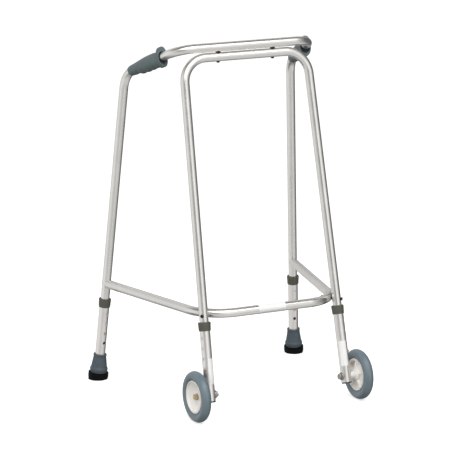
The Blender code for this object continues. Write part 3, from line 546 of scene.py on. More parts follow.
def dome_bolt(length):
    """A button-head bolt: shank from 0 to length along Z, domed head below 0 with a hex socket."""
    a = np.linspace(0.25, math.pi / 2, 9)
    dome = np.stack([BOLT_HEAD_RADIUS * np.sin(a), -BOLT_HEAD_HEIGHT * (0.12 + 0.88 * np.cos(a))], 1)
    bottom = -BOLT_HEAD_HEIGHT + BOLT_SOCKET_DEPTH
    socket = [(0, bottom), (BOLT_SOCKET_RADIUS, bottom), (BOLT_SOCKET_RADIUS, -BOLT_HEAD_HEIGHT * 0.98)]
    dome = dome[dome[:, 0] > BOLT_SOCKET_RADIUS * 1.08]
    shank = [(BOLT_HEAD_RADIUS * 0.98, -GAP), (BOLT_RADIUS, -GAP), (BOLT_RADIUS, length), (0, length)]
    return lathed([*socket, *dome.tolist(), *shank])


def nut_shape(radius, bore, height):
    """A plain hexagonal nut from 0 to height along Z."""
    outline = [(bore, 0), (radius * 0.8, 0), (radius, 0), (radius, height), (radius * 0.8, height),
               (bore, height)]
    return hex_turned(softened(outline, 0.0002, 3), 0.0002)


def steel(name, colour, roughness, speck):
    """Turned or pressed steel with a thin plating: soft speckle in its colour and gloss from the
    plating's grain, a fraction of a millimetre across."""
    metal, tree, shader = new_material(name)
    shader.inputs["Metallic"].default_value = 1.0
    at = add(tree, "ShaderNodeTexCoord")
    grain = add(tree, "ShaderNodeTexNoise", {"Vector": (at, "Object"), "Scale": speck, "Detail": 4.0})
    vary(tree, shader, colour, (grain, "Fac", (0.3, 0.7), (0.8, 1.12)),
         (grain, "Fac", (0.3, 0.7), (roughness - 0.07, roughness + 0.1)))
    return metal


def moulded(name, colour, roughness, grain_size, depth, spread=0.1, specular=0.5):
    """Moulded plastic or rubber: an even colour with faint cloudiness, and the fine grain that
    the mould leaves, whose size is in metres."""
    plastic, tree, shader = new_material(name)
    shader.inputs["Specular IOR Level"].default_value = specular
    at = add(tree, "ShaderNodeTexCoord")
    grain = add(tree, "ShaderNodeTexNoise", {"Vector": (at, "Object"), "Scale": 1 / grain_size,
                                             "Detail": 3.0})
    cloud = add(tree, "ShaderNodeTexNoise", {"Vector": (at, "Object"), "Scale": 45.0, "Detail": 2.0})
    both = add(tree, "ShaderNodeMath", {0: (grain, "Fac"), 1: (cloud, "Fac")}, operation="ADD")
    vary(tree, shader, colour, (both, "Value", (0.7, 1.3), (1 - spread, 1 + spread)),
         (grain, "Fac", (0.3, 0.7), (roughness - 0.06, roughness + 0.06)))
    bumps = add(tree, "ShaderNodeBump", {"Height": (grain, "Fac"), "Strength": depth, "Distance": grain_size})
    tree.links.new(bumps.outputs["Normal"], shader.inputs["Normal"])
    return plastic


black_steel = steel("blackened_steel", "#3A3633", 0.38, 2600)
zinc_steel = steel("zinc_plated_steel", "#9C9995", 0.32, 2200)
black_nylon = moulded("moulded_black_nylon", "#1E1F1E", 0.42, 0.0006, 0.15)


def keep_cad_node(node, material):
    """A CAD node that stays as it is, with a finished material."""
    frame["nodes"][node].data.materials.clear()
    frame["nodes"][node].data.materials.append(material)


def seat_reach(end, name, way):
    """How far from a leaning leg's axis a flat bolt head clears the tube."""
    lean = math.asin(abs(np.dot(leg_axis(end, name)[1], way)))
    return TUBE_RADIUS / math.cos(lean) + BOLT_HEAD_RADIUS * math.tan(lean) + GAP


for name in SIDES:
    x = middle(f"crossbar_spacer_{name}")[0]
    under = np.array((x, crossbar_y, lower_crossbar_z - TUBE_RADIUS))
    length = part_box(f"crossbar_bolt_{name}")[1].z - under[2]
    bolt = placed(dome_bolt(length), under, UP)
    make_piece(f"crossbar_bolt_{name}", "domed", [bolt], black_steel)
    keep_cad_node(f"crossbar_nut_{name}", zinc_steel)

    # The block's two faces are hollowed to the bars: its height at a point is how far the bars'
    # surfaces are from the middle there.
    bore = BOLT_RADIUS + GAP
    block = lathed(softened([(bore, -1), (BLOCK_RADIUS, -1), (BLOCK_RADIUS, 1), (bore, 1)], 0.0005))
    hollow = TUBE_RADIUS + CROSSBAR_GAP / 2 - np.sqrt((TUBE_RADIUS + GAP) ** 2 - block[..., 1] ** 2)
    block[..., 2] = np.sign(block[..., 2]) * np.minimum(np.abs(block[..., 2]), hollow)
    block = placed(block, (x, crossbar_y, between_crossbars[2]), UP, (1, 0, 0))
    make_piece(f"crossbar_spacer_{name}", "hollowed", [block], black_nylon)

    centre, outward = brace_corner(name)
    leg = on_leg("front", name, BRACE_HEIGHT)
    head_seat = leg + outward * seat_reach("front", name, outward)
    nut_seat = centre + outward * (BRACE_BEND_RADIUS - TUBE_RADIUS - BRACE_NUT_CLEARANCE)
    length = np.linalg.norm(head_seat - nut_seat) + NUT_HEIGHT + GAP
    bolt = placed(dome_bolt(length), head_seat, -outward)
    make_piece(f"brace_front_bolt_{name}", "domed", [bolt], black_steel)
    nut = placed(nut_shape(NUT_RADIUS, BOLT_RADIUS + GAP, NUT_HEIGHT), nut_seat, -outward)
    make_piece(f"brace_front_nut_{name}", "hexagon", [nut], zinc_steel)

    end, forward = brace_side(name)
    reach = seat_reach("rear", name, forward)
    bolt = placed(dome_bolt(reach + TUBE_RADIUS + GAP + BRACE_BOLT_IN_PLUG), end - forward * reach, forward)
    make_piece(f"brace_rear_bolt_{name}", "domed", [bolt], black_steel)
    keep_cad_node(f"brace_end_plug_{name}", black_nylon)


# ---- Grips --------------------------------------------------------------------------------------
# Soft grey-green PVC, moulded in one piece and pushed on to the handle tube. A grip swells towards
# the front, has four finger swells underneath and ends in an upright oval guard with a dished mouth.
GRIP_COLOUR = "#5E6B6D"
GRIP_SHARE_OF_BEND = 1 / 8
GRIP_FRONT_FROM_BEND = 0.013
GRIP_REAR_RADIUS = 0.0130
GRIP_RISE = 0.0180
GRIP_SWELLS_OVER = 0.62
GRIP_WAIST = 0.0016
GRIP_WAIST_FROM = 0.72
GRIP_SIDE_WAIST = 1.8
GRIP_DROP = 0.0180
GRIP_REAR_HALF_WIDTH = 0.0134
GRIP_HALF_WIDTH = 0.0168
REAR_ROUNDING = 0.011
HEEL_DROP = 0.0008
HEEL_PLACE = 0.014
HEEL_SPREAD = 0.010
FINGER_PITCH = 0.0205
FINGER_FIRST = 0.036
FINGERS = 4
FINGER_DEPTH = 0.0046
FINGER_GROOVE = 0.0012
FINGER_POWER = 0.6
GUARD_THICKNESS = 0.0095
GUARD_HALF_HEIGHT = 0.0252
GUARD_HALF_WIDTH = 0.0142
GUARD_LEAN = 0.11
LEAN_FROM, LEAN_WHOLE = 0.6, 0.9
GUARD_ROOT = 0.0060
BODY_SQUARENESS = 2.15
ROOT_SQUARENESS = 2.3
GUARD_SQUARENESS = 2.35
MOUTH_DEPTH = 0.013
MOUTH_DROP = 0.0052
GRIP_SIDES = 96


def smooth(low, high, x):
    """Goes from 0 at low to 1 at high as 3 t^2 - 2 t^3."""
    t = np.clip((x - low) / (high - low), 0, 1)
    return t * t * (3 - 2 * t)


def grip_sections(length):
    """Rows of (distance, half width, rise, drop, squareness), from the rear lip over the body and
    the guard into the mouth, and back along the bore. Body rows follow smooth curves of the
    distance, and each finger adds its depth times |sin|^0.6 to the drop."""
    root = length - GUARD_THICKNESS - GUARD_ROOT
    d = np.linspace(0.004, root, 110)
    swell = smooth(0.0, GRIP_SWELLS_OVER * length, d)
    ease = GRIP_WAIST * smooth(GRIP_WAIST_FROM * length, root, d)
    end_round = np.sqrt(np.clip(1 - (1 - np.clip(d / REAR_ROUNDING, 0, 1)) ** 2, 0, 1))
    rise = GRIP_REAR_RADIUS + (GRIP_RISE - GRIP_REAR_RADIUS) * swell - ease
    width = GRIP_REAR_HALF_WIDTH + (GRIP_HALF_WIDTH - GRIP_REAR_HALF_WIDTH) * swell - GRIP_SIDE_WAIST * ease
    heel = HEEL_DROP * np.exp(-((d - HEEL_PLACE) / HEEL_SPREAD) ** 2)
    drop = GRIP_REAR_RADIUS + (GRIP_DROP - GRIP_REAR_RADIUS) * swell + heel
    last_finger = FINGER_FIRST + FINGERS * FINGER_PITCH
    fingers = (d > FINGER_FIRST) & (d < last_finger)
    wave = np.abs(np.sin(math.pi * (d - FINGER_FIRST) / FINGER_PITCH)) ** FINGER_POWER
    groove = FINGER_GROOVE * smooth(FINGER_FIRST - 0.008, FINGER_FIRST, d)
    drop = drop - groove + FINGER_DEPTH * fingers * wave
    bore = TUBE_RADIUS + GAP
    body = np.stack([d, bore + (width - bore) * end_round, bore + (rise - bore) * end_round,
                     bore + (drop - bore) * end_round, np.full_like(d, BODY_SQUARENESS)], 1)
    t = np.linspace(0, 1, 9)[1:, None]
    root_row = body[-1]
    high, low = GUARD_HALF_HEIGHT - 0.003, GUARD_HALF_HEIGHT - 0.004
    flare = np.array([root + GUARD_ROOT, GUARD_HALF_WIDTH, high, high, ROOT_SQUARENESS])
    corner = np.array([root + GUARD_ROOT, *root_row[1:4], ROOT_SQUARENESS])
    flares = (1 - t) ** 2 * root_row + 2 * t * (1 - t) * corner + t ** 2 * flare
    mouth = bore + 0.0013
    guard = softened([
        (length - GUARD_THICKNESS, GUARD_HALF_WIDTH - 0.002, low, low, ROOT_SQUARENESS),
        (length - GUARD_THICKNESS, GUARD_HALF_WIDTH, GUARD_HALF_HEIGHT, GUARD_HALF_HEIGHT, GUARD_SQUARENESS),
        (length, GUARD_HALF_WIDTH, GUARD_HALF_HEIGHT, GUARD_HALF_HEIGHT, GUARD_SQUARENESS),
        (length, mouth + 0.0004, mouth + 0.0006, mouth + MOUTH_DROP, 2.1),
        (length - MOUTH_DEPTH, bore, bore, bore + 0.8 * MOUTH_DROP, 2.0),
        (length - MOUTH_DEPTH - 0.0008, bore, bore, bore, 2.0),
    ], 0.0028, 9)[5:-4]
    inner = np.array([(x, bore, bore, bore, 2.0)
                      for x in np.linspace(length - MOUTH_DEPTH - 0.001, 0.0, 24)])
    lip = np.array([(0.0006, bore + 0.0012, bore + 0.0012, bore + 0.0012, 2.0)])
    return np.concatenate([lip, body, flares, guard, inner])


def grip_shape(path, rows):
    """Each row is a ring of |cos|^(2/n) and |sin|^(2/n) round the tube's path at its distance,
    with its own height above and below the tube. Towards the front a ring leans forwards, by its
    height times a lean that grows smoothly with the distance."""
    s = distances(path)
    points = np.stack([np.interp(rows[:, 0], s, path[:, k]) for k in range(3)], 1)
    ahead = carried(path)[0]
    ahead = unit(np.stack([np.interp(rows[:, 0], s, ahead[:, k]) for k in range(3)], 1))
    across = unit(np.cross(ahead, UP))
    up = np.cross(across, ahead)
    a = np.linspace(0, 2 * math.pi, GRIP_SIDES, endpoint=False)[None]
    power = 2 / rows[:, 4:5]
    c = np.sign(np.cos(a)) * np.abs(np.cos(a)) ** power
    v = np.sign(np.sin(a)) * np.abs(np.sin(a)) ** power
    height = np.where(v > 0, rows[:, 2:3], rows[:, 3:4])
    front = rows[:, 0].max()
    lean = GUARD_LEAN * smooth(LEAN_FROM * front, LEAN_WHOLE * front, rows[:, 0:1]) * height * v
    ring = (rows[:, 1:2] * c)[..., None] * across[:, None] + (height * v)[..., None] * up[:, None]
    return points[:, None] + ring + lean[..., None] * ahead[:, None]


grip_rubber = moulded("moulded_grey_green_pvc", GRIP_COLOUR, 0.5, 0.0011, 0.22, 0.09, 0.45)
for name, side in SIDES.items():
    path = handle_path if side < 0 else handle_path[::-1]
    start = 1 + round(BEND_STEPS * (1 - GRIP_SHARE_OF_BEND))
    path = path[start:BEND_STEPS + 3]
    length = distances(path)[-1] - GRIP_FRONT_FROM_BEND
    grip = grip_shape(path, grip_sections(length))
    make_piece(f"grip_{name}", "moulded", [grip], grip_rubber, sharp=50)


# ---- Leg extensions -----------------------------------------------------------------------------
# 25.4 mm aluminium tube that slides on the frame tube, with a row of four punched holes. It has
# the same clear anodising as the frame but a paler, duller face. A blank white label is stuck
# inside each front leg above the axle.
EXTENSION_BORE = 0.0114
EXTENSION_RADIUS = 0.0127
HOLE_PITCH = 0.0254
HOLE_RADIUS = 0.0038
HOLE_EDGE = 0.0002
HOLES = {"rear": (-1, 2), "front": (0, 3)}
TOP_HOLE_TO_END = 0.0355
PATCH_HALF_ANGLE = 0.45
PATCH_CELLS = 10
WHEEL_RADIUS = 0.0625
AXLE_TO_LEG_END = 0.0148
FERRULE_BASE_HEIGHT = 0.018
FERRULE_FLOOR = 0.003
FERRULE_WASHER = 0.0015


def leg_frame(end, name):
    """The place of a leg's button hole on its axis, the way up the leg and the way the holes face."""
    press = joints[f"button_{end}_{name}_press"]
    return on_leg(end, name, BUTTON_HEIGHT), leg_axis(end, name)[1], -np.array(press["axis"], float)


def leg_span(end, name):
    """The lowest and the highest height of an extension, from its button hole."""
    up = leg_axis(end, name)[1]
    top = HOLES[end][1] * HOLE_PITCH + TOP_HOLE_TO_END
    if end == "rear":
        seat = FERRULE_BASE_HEIGHT + FERRULE_FLOOR + FERRULE_WASHER + 3 * GAP
        return seat - BUTTON_HEIGHT / up[2], top
    return (WHEEL_RADIUS - BUTTON_HEIGHT) / up[2] - AXLE_TO_LEG_END, top


def punched_tube(radius, bore, low, high, holes):
    """A tube along Z with round holes towards X. Its wall is a grid of turns and heights. Round
    each hole a square patch is left out and filled with rings that go from the square to the
    circle, the nearer to it the rounder, and the circle goes on through the wall."""
    front = np.linspace(-PATCH_HALF_ANGLE, PATCH_HALF_ANGLE, PATCH_CELLS + 1)
    rest = np.linspace(PATCH_HALF_ANGLE, 2 * math.pi - PATCH_HALF_ANGLE, 49)[1:-1]
    turns = np.concatenate([front, rest])
    reach = radius * PATCH_HALF_ANGLE
    across = np.linspace(-reach, reach, PATCH_CELLS + 1)
    heights = np.concatenate([[low, low + 0.0004], *(hole + across for hole in holes),
                              [high - 0.0004, high]])
    rows, columns = len(heights), len(turns)
    flat = np.stack(np.broadcast_arrays(turns[None], heights[:, None]), -1).reshape(-1, 2)
    i, j = np.meshgrid(np.arange(rows - 1), np.arange(columns), indexing="ij")
    quads = np.stack([i * columns + j, i * columns + (j + 1) % columns,
                      (i + 1) * columns + (j + 1) % columns, (i + 1) * columns + j], -1)
    keep = np.ones((rows - 1, columns), bool)
    steps = np.arange(PATCH_CELLS)
    walls, faces = [np.column_stack([flat, np.full(len(flat), r)]) for r in (radius, bore)], []
    size = rows * columns
    rims = []
    for k in range(len(holes)):
        first = 2 + k * (PATCH_CELLS + 1)
        keep[first:first + PATCH_CELLS, :PATCH_CELLS] = False
        rims.append(np.concatenate([
            first * columns + steps,
            (first + steps) * columns + PATCH_CELLS,
            (first + PATCH_CELLS) * columns + PATCH_CELLS - steps,
            (first + PATCH_CELLS - steps) * columns,
        ]))
    for wall in (0, 1):
        faces.append(quads[keep] + wall * size)
    for row in (0, rows - 1):
        ring = row * columns + np.arange(columns)
        faces.append(np.stack([ring, np.roll(ring, -1), np.roll(ring, -1) + size, ring + size], 1))
    count = 2 * size
    for hole, rim in zip(holes, rims):
        edge = flat[rim] * (radius, 1) - (0, hole)
        circle = HOLE_RADIUS * unit(edge)
        grown = 1 + HOLE_EDGE / HOLE_RADIUS
        levels = [(share, radius, 1.0) for share in (0.3, 0.6, 0.85)]
        levels += [(1, radius, grown), (1, radius - HOLE_EDGE, 1.0)]
        levels += [(1, bore + HOLE_EDGE, 1.0), (1, bore, grown)]
        levels += [(share, bore, 1.0) for share in (0.85, 0.6, 0.3)]
        rings = [rim]
        for share, r, grow in levels:
            spot = edge * (1 - share) + circle * share * grow + (0, hole)
            walls.append(np.column_stack([spot / (radius, 1), np.full(len(spot), r)]))
            rings.append(count + np.arange(len(spot)))
            count += len(spot)
        rings.append(rim + size)
        for lower, upper in zip(rings, rings[1:]):
            faces.append(np.stack([lower, np.roll(lower, -1), np.roll(upper, -1), upper], 1))
    turn, height, r = np.concatenate(walls).T
    points = np.stack([r * np.cos(turn), r * np.sin(turn), height], 1)
    return points, np.concatenate(faces)


pale_aluminium = anodised_aluminium("pale_anodised_aluminium", "#E3E0DD", 0.36)
for end in HOLES:
    for name in SIDES:
        origin, up, out = leg_frame(end, name)
        low, high = leg_span(end, name)
        holes = [k * HOLE_PITCH for k in range(HOLES[end][0], HOLES[end][1] + 1)]
        points, faces = punched_tube(EXTENSION_RADIUS, EXTENSION_BORE, low, high, holes)
        shell = (placed(points, origin, up, out), faces)
        make_piece(f"leg_extension_{end}_{name}", "punched", [shell],
                   pale_aluminium, points)


# ---- Labels -------------------------------------------------------------------------------------
# Blank white vinyl: one on the inner front of each front leg above the axle, and one round the
# front bar of the brace.
LABEL_THICKNESS = 0.00022
LABEL_LIFT = 0.00004
LEG_LABEL = (0.026, 0.088)
LEG_LABEL_BEARING = math.radians(24)
LEG_LABEL_HALF_TURN = math.radians(44)
BRACE_LABEL = (-0.042, 0.031)
BRACE_LABEL_TURN = (math.radians(-150), math.radians(100))


def label_shape(radius, low, high, start, stop, corner=0.003):
    """A thin patch on a tube along Z: a rounded outline of (arc, height) filled from its middle
    outwards, on the tube's radius and again a label's thickness above it."""
    left, right = start * radius, stop * radius
    outline = softened([(left, low), (right, low), (right, high), (left, high)], corner, 9)
    outline = np.concatenate([np.linspace(a, b, 12, endpoint=False)
                              for a, b in zip(outline, np.roll(outline, -1, 0))])
    centre = outline.mean(0)
    shares = np.linspace(0, 1, 26)
    flat = centre + shares[:, None, None] * (outline - centre)
    layers = []
    for r, rows in ((radius + LABEL_LIFT, flat), (radius + LABEL_THICKNESS, flat[::-1])):
        turn = rows[..., 0] / radius
        layers.append(np.stack([r * np.cos(turn), r * np.sin(turn), rows[..., 1]], -1))
    return np.concatenate(layers)


label_vinyl = moulded("white_vinyl_label", "#F7F7F5", 0.35, 0.002, 0.03, 0.02)
for name, side in SIDES.items():
    origin, up, _ = leg_frame("front", name)
    axle = (WHEEL_RADIUS - BUTTON_HEIGHT) / up[2]
    facing_way = np.array((-side * math.sin(LEG_LABEL_BEARING), -math.cos(LEG_LABEL_BEARING), 0))
    label = label_shape(EXTENSION_RADIUS, axle + LEG_LABEL[0], axle + LEG_LABEL[1],
                        -LEG_LABEL_HALF_TURN, LEG_LABEL_HALF_TURN)
    label = placed(label, origin, up, facing_way)
    make_piece(f"leg_label_{name}", None, [label], label_vinyl, body=f"leg_front_{name}")

brace_front = np.array((0, brace_corner("left")[0][1] - BRACE_BEND_RADIUS, BRACE_HEIGHT))
label = label_shape(TUBE_RADIUS, *BRACE_LABEL, *BRACE_LABEL_TURN)
label = placed(label, brace_front, (1, 0, 0), (0, -1, 0))
make_piece("brace_label", None, [label], label_vinyl, body="frame")


# ---- Collars ------------------------------------------------------------------------------------
# Dark grey-green plastic sleeves pressed over the upper ends of the leg extensions, slightly
# narrower towards the bottom. A soft inner lip steadies the frame tube, a little below the rim.
COLLAR_RADIUS = 0.0155
COLLAR_FOOT_RADIUS = 0.0145
COLLAR_HEIGHT = 0.0215
COLLAR_LIP = 0.003

collar_plastic = moulded("moulded_grey_green_plastic", "#525449", 0.55, 0.0008, 0.3, 0.16)
for end in HOLES:
    for name in SIDES:
        origin, up, out = leg_frame(end, name)
        top = leg_span(end, name)[1] + COLLAR_LIP
        foot = top - COLLAR_HEIGHT
        outline = [
            (EXTENSION_RADIUS + 0.0001, foot),
            (COLLAR_FOOT_RADIUS, foot),
            (COLLAR_RADIUS, top - 0.004),
            (COLLAR_RADIUS, top),
            (COLLAR_RADIUS - 0.0018, top),
            (TUBE_RADIUS + 0.0006, top - 0.0016),
            (TUBE_RADIUS + 0.0002, top - 0.0022),
            (TUBE_RADIUS + 0.0002, top - COLLAR_LIP + GAP),
            (EXTENSION_RADIUS + 0.0001, top - COLLAR_LIP + GAP),
        ]
        rounding = (0.0002, 0.0012, 0.002, 0.0009, 0.0006, 0.0003, 0.0002, 0.0002, 0.0002)
        collar = placed(lathed(softened(outline, rounding), 72), origin, up, out)
        make_piece(f"collar_{end}_{name}", "moulded", [collar], collar_plastic)


# ---- Snap buttons -------------------------------------------------------------------------------
# A domed brass button stands out of one hole of each leg on a strip of spring steel inside the
# frame tube. The folded back of the strip stays out of sight.
BUTTON_RADIUS = 0.0034
BUTTON_STAND_OUT = 0.0026
SPRING_THICKNESS = 0.0007
SPRING_HALF_WIDTH = 0.004
SPRING_LENGTH = 0.034
STRIP_FACE = 0.0084
BUTTON_DOME_HEIGHT = 0.0019

button_brass = steel("lacquered_brass", "#C8AE92", 0.30, 900)
spring_steel = steel("spring_steel", "#6F6E6B", 0.3, 1500)
for end in HOLES:
    for name in SIDES:
        origin, up, out = leg_frame(end, name)
        tip = EXTENSION_RADIUS + BUTTON_STAND_OUT
        a = np.linspace(0, math.pi / 2, 10)[::-1]
        dome_height = tip - BUTTON_DOME_HEIGHT + BUTTON_DOME_HEIGHT * np.cos(a)
        dome = np.stack([BUTTON_RADIUS * np.sin(a), dome_height], 1)[:-1]
        foot = STRIP_FACE - SPRING_THICKNESS / 2
        knob = lathed([(0, foot), (BUTTON_RADIUS, foot), *dome.tolist(), (0, tip)])
        knob = placed(knob, origin, out, up)
        # The strip is a rounded rectangle of width and thickness, carried along the leg.
        wide, under = SPRING_HALF_WIDTH, STRIP_FACE - SPRING_THICKNESS
        flat = softened([(-wide, under), (wide, under), (wide, STRIP_FACE), (-wide, STRIP_FACE)], 0.0002, 3)
        heights = np.array((-BUTTON_RADIUS, -BUTTON_RADIUS, SPRING_LENGTH, SPRING_LENGTH))
        shrink = np.array((0.0, 1.0, 1.0, 0.0))
        centre = flat.mean(0)
        ring = centre + shrink[:, None, None] * (flat - centre)
        strip = np.stack([ring[..., 1], ring[..., 0], np.repeat(heights[:, None], len(flat), 1)], -1)
        strip = placed(strip, origin, up, out)
        make_piece(f"snap_button_{end}_{name}", "domed", [knob, strip], button_brass)
        keep_cad_node(f"snap_spring_{end}_{name}", spring_steel)


# ---- Ferrules -----------------------------------------------------------------------------------
# Moulded rubber feet on the rear legs: a slate grey body with a ledge low down, a flared rim, and
# a black base that is flat on the floor. A steel washer inside takes the end of the tube.
FERRULE_HEIGHT = 0.066
FERRULE_RIM_RADIUS = 0.0168
FERRULE_NECK_RADIUS = 0.0160
FERRULE_WAIST_RADIUS = 0.0203
FERRULE_LEDGE_RADIUS = 0.0224
FERRULE_SKIRT_RADIUS = 0.0212
FERRULE_BASE_RADIUS = 0.0255

slate_rubber = moulded("moulded_slate_rubber", "#4E5960", 0.6, 0.0009, 0.3, 0.12, 0.4)
black_rubber = moulded("moulded_black_rubber", "#060607", 0.66, 0.0012, 0.3, 0.15, 0.12)
for name in SIDES:
    origin, up, out = leg_frame("rear", name)
    floor_level = -BUTTON_HEIGHT / up[2]
    skirt = floor_level + FERRULE_BASE_HEIGHT + GAP
    top = floor_level + FERRULE_HEIGHT
    bore = EXTENSION_RADIUS + 0.0001
    outline = [
        (0, skirt),
        (FERRULE_SKIRT_RADIUS - 0.0004, skirt),
        (FERRULE_SKIRT_RADIUS, skirt + 0.0052),
        (FERRULE_LEDGE_RADIUS, skirt + 0.0060),
        (FERRULE_LEDGE_RADIUS - 0.0002, skirt + 0.0118),
        (FERRULE_WAIST_RADIUS, skirt + 0.0136),
        (FERRULE_NECK_RADIUS, top - 0.0055),
        (FERRULE_RIM_RADIUS, top - 0.0042),
        (FERRULE_RIM_RADIUS, top),
        (bore + 0.0006, top),
        (bore, top - 0.001),
        (bore, skirt + FERRULE_FLOOR),
        (0, skirt + FERRULE_FLOOR),
    ]
    rounding = (0, 0.0006, 0.0006, 0.0012, 0.0014, 0.0012, 0.0012, 0.0008, 0.0011, 0.0004, 0.0004, 0.0004, 0)
    body = placed(lathed(softened(outline, rounding), 96), origin, up, out)
    make_piece(f"ferrule_body_{name}", "moulded", [body], slate_rubber)

    # The base is turned about the leg and then everything below the floor is brought up to it.
    deep = floor_level - 0.004
    outline = [
        (0, deep),
        (FERRULE_BASE_RADIUS - 0.0012, deep),
        (FERRULE_BASE_RADIUS - 0.0010, floor_level + 0.0032),
        (FERRULE_BASE_RADIUS, floor_level + 0.0062),
        (FERRULE_BASE_RADIUS, skirt - GAP),
        (FERRULE_SKIRT_RADIUS + 0.0014, skirt - GAP),
        (FERRULE_SKIRT_RADIUS + 0.0008, skirt - 0.0012),
        (0, skirt - 0.0012),
    ]
    rounding = (0, 0.0002, 0.0012, 0.0014, 0.0014, 0.0006, 0.0004, 0)
    base = placed(lathed(softened(outline, rounding, 7), 96), origin, up, out)
    base[..., 2] = np.maximum(base[..., 2], 0)
    make_piece(f"ferrule_base_{name}", "flat", [base], black_rubber)
    keep_cad_node(f"ferrule_washer_{name}", zinc_steel)


# ---- Tyres --------------------------------------------------------------------------------------
# Solid grey rubber tyres, 125 mm across, moulded on to their rims, with a round crown, a bead at
# the rim and fine moulding ridges on each shoulder.
TYRE_HALF_WIDTH = 0.012
TYRE_SEAT_HALF_WIDTH = 0.0081
RIM_RADIUS = 0.040
RIDGES = (-0.95, -0.74, 0.74, 0.95)
RIDGE_HEIGHT = 0.00022
RIDGE_HALF_ANGLE = 0.035
BEAD_HEIGHT = 0.0006
BEAD_TURN = 2.12
BEAD_HALF_ANGLE = 0.085
TYRE_SIDES = 144

tyre_rubber = moulded("moulded_grey_rubber", "#687880", 0.36, 0.0010, 0.16, 0.08, 0.75)
for name, side in SIDES.items():
    centre = np.array(joints[f"wheel_{name}_spin"]["pos_m"])
    # The section is an oval: radius = middle + half * cos t, width = half width * sin t. Ridges
    # are small peaks at set turns t, and the bead is a round swelling low on each side.
    half = (WHEEL_RADIUS - RIM_RADIUS) / 2
    seat = math.pi - math.asin(TYRE_SEAT_HALF_WIDTH / TYRE_HALF_WIDTH)
    t = np.linspace(-seat, seat, 181)
    swell = np.zeros_like(t)
    for ridge in RIDGES:
        swell += RIDGE_HEIGHT * np.clip(1 - np.abs(t - ridge) / RIDGE_HALF_ANGLE, 0, 1)
    swell += BEAD_HEIGHT * np.exp(-((np.abs(t) - BEAD_TURN) / BEAD_HALF_ANGLE) ** 2)
    profile = np.stack([RIM_RADIUS + half + half * np.cos(t) + swell * np.cos(t),
                        (TYRE_HALF_WIDTH + swell) * np.sin(t)], 1)
    profile[:, 0] = np.clip(profile[:, 0], RIM_RADIUS, WHEEL_RADIUS)
    seats = [[(RIM_RADIUS, way * TYRE_SEAT_HALF_WIDTH)] for way in (-1, 1)]
    profile = np.concatenate([seats[0], profile, seats[1]])
    tyre = placed(lathed(profile, TYRE_SIDES), centre, (side, 0, 0), UP)
    make_piece(f"tyre_{name}", "moulded", [tyre], tyre_rubber, sharp=60)


# ---- Wheel hubs ---------------------------------------------------------------------------------
# Off-white nylon hubs. The outer face is a smooth deep dish, and the inner face has five pockets
# between ribs. A steel bush is pressed into the boss.
HUB_SIDES = 300
RIM_HALF_WIDTH = 0.0095
RIM_WALL = 0.0035
BOSS_RADIUS = 0.012
BOSS_INNER_FACE = -0.013
BOSS_OUTER_FACE = -0.001
BUSH_RADIUS = 0.006
WEB_THICKNESS = 0.003
HUB_RIBS = 5
RIB_THICKNESS = 0.0045
POCKET_DRAFT = 0.0007

hub_nylon = moulded("moulded_off_white_nylon", "#F8F5F0", 0.36, 0.0016, 0.04, 0.03, 0.5)
for name, side in SIDES.items():
    centre = np.array(joints[f"wheel_{name}_spin"]["pos_m"])
    outer = RIM_RADIUS - GAP
    rim_bore = outer - RIM_WALL
    bore = BUSH_RADIUS + 0.0001
    rise = RIM_HALF_WIDTH - RIM_WALL - BOSS_OUTER_FACE

    def dish(r):
        """The dish's height: flat on the boss, then a quarter of a cosine out to the rim."""
        share = np.clip((r - BOSS_RADIUS) / (rim_bore - BOSS_RADIUS), 0, 1)
        return BOSS_OUTER_FACE + rise * (1 - np.cos(math.pi / 2 * share))

    r = np.linspace(bore, rim_bore - 0.0012, 60)
    face = np.stack([r, dish(r)], 1)
    rim = softened([
        face[-1],
        (rim_bore, dish(rim_bore)),
        (rim_bore + 0.0004, RIM_HALF_WIDTH),
        (outer, RIM_HALF_WIDTH),
        (outer, -RIM_HALF_WIDTH),
        (rim_bore, -RIM_HALF_WIDTH),
        face[-2],
    ], (0, 0.0016, 0.0009, 0.0006, 0.0006, 0.0004, 0), 6)[6:-6]
    # The rows are closest together where the pockets' walls and the ribs' ends are.
    r = np.concatenate([np.linspace(rim_bore, rim_bore - 0.003, 12),
                        np.linspace(rim_bore - 0.0034, 0.0182, 34),
                        np.linspace(0.0178, 0.0148, 12), np.linspace(0.0144, bore, 14)])
    to_rim = smooth(BOSS_RADIUS, BOSS_RADIUS + RIM_WALL, r)
    land = BOSS_INNER_FACE + (-RIM_HALF_WIDTH - BOSS_INNER_FACE) * to_rim
    land += 0.0012 * smooth(0.0, 1.0, (r - 0.018) / 0.014) * (r < rim_bore - 0.002)
    low, high = BOSS_RADIUS + RIM_WALL, rim_bore - 0.0004
    a = np.linspace(0, 2 * math.pi, HUB_SIDES, endpoint=False)
    to_rib = (a + math.pi / HUB_RIBS) % (2 * math.pi / HUB_RIBS) - math.pi / HUB_RIBS
    from_rib = np.abs(r[:, None] * np.sin(to_rib)) - RIB_THICKNESS / 2
    inside = np.minimum(np.minimum(r - low, high - r)[:, None], from_rib)
    pocket = smooth(0, POCKET_DRAFT, inside)
    web = (dish(r) - WEB_THICKNESS)[:, None]
    inner_height = land[:, None] + (web - land[:, None]) * pocket
    inner_face = np.stack([r[:, None] * np.cos(a), r[:, None] * np.sin(a), inner_height], -1)
    hub = np.concatenate([lathed(np.concatenate([face, rim]), HUB_SIDES), inner_face])
    hub = placed(hub, centre, (side, 0, 0), UP)
    make_piece(f"wheel_hub_{name}", "dished", [hub], hub_nylon, sharp=40)
    keep_cad_node(f"hub_bush_{name}", zinc_steel)


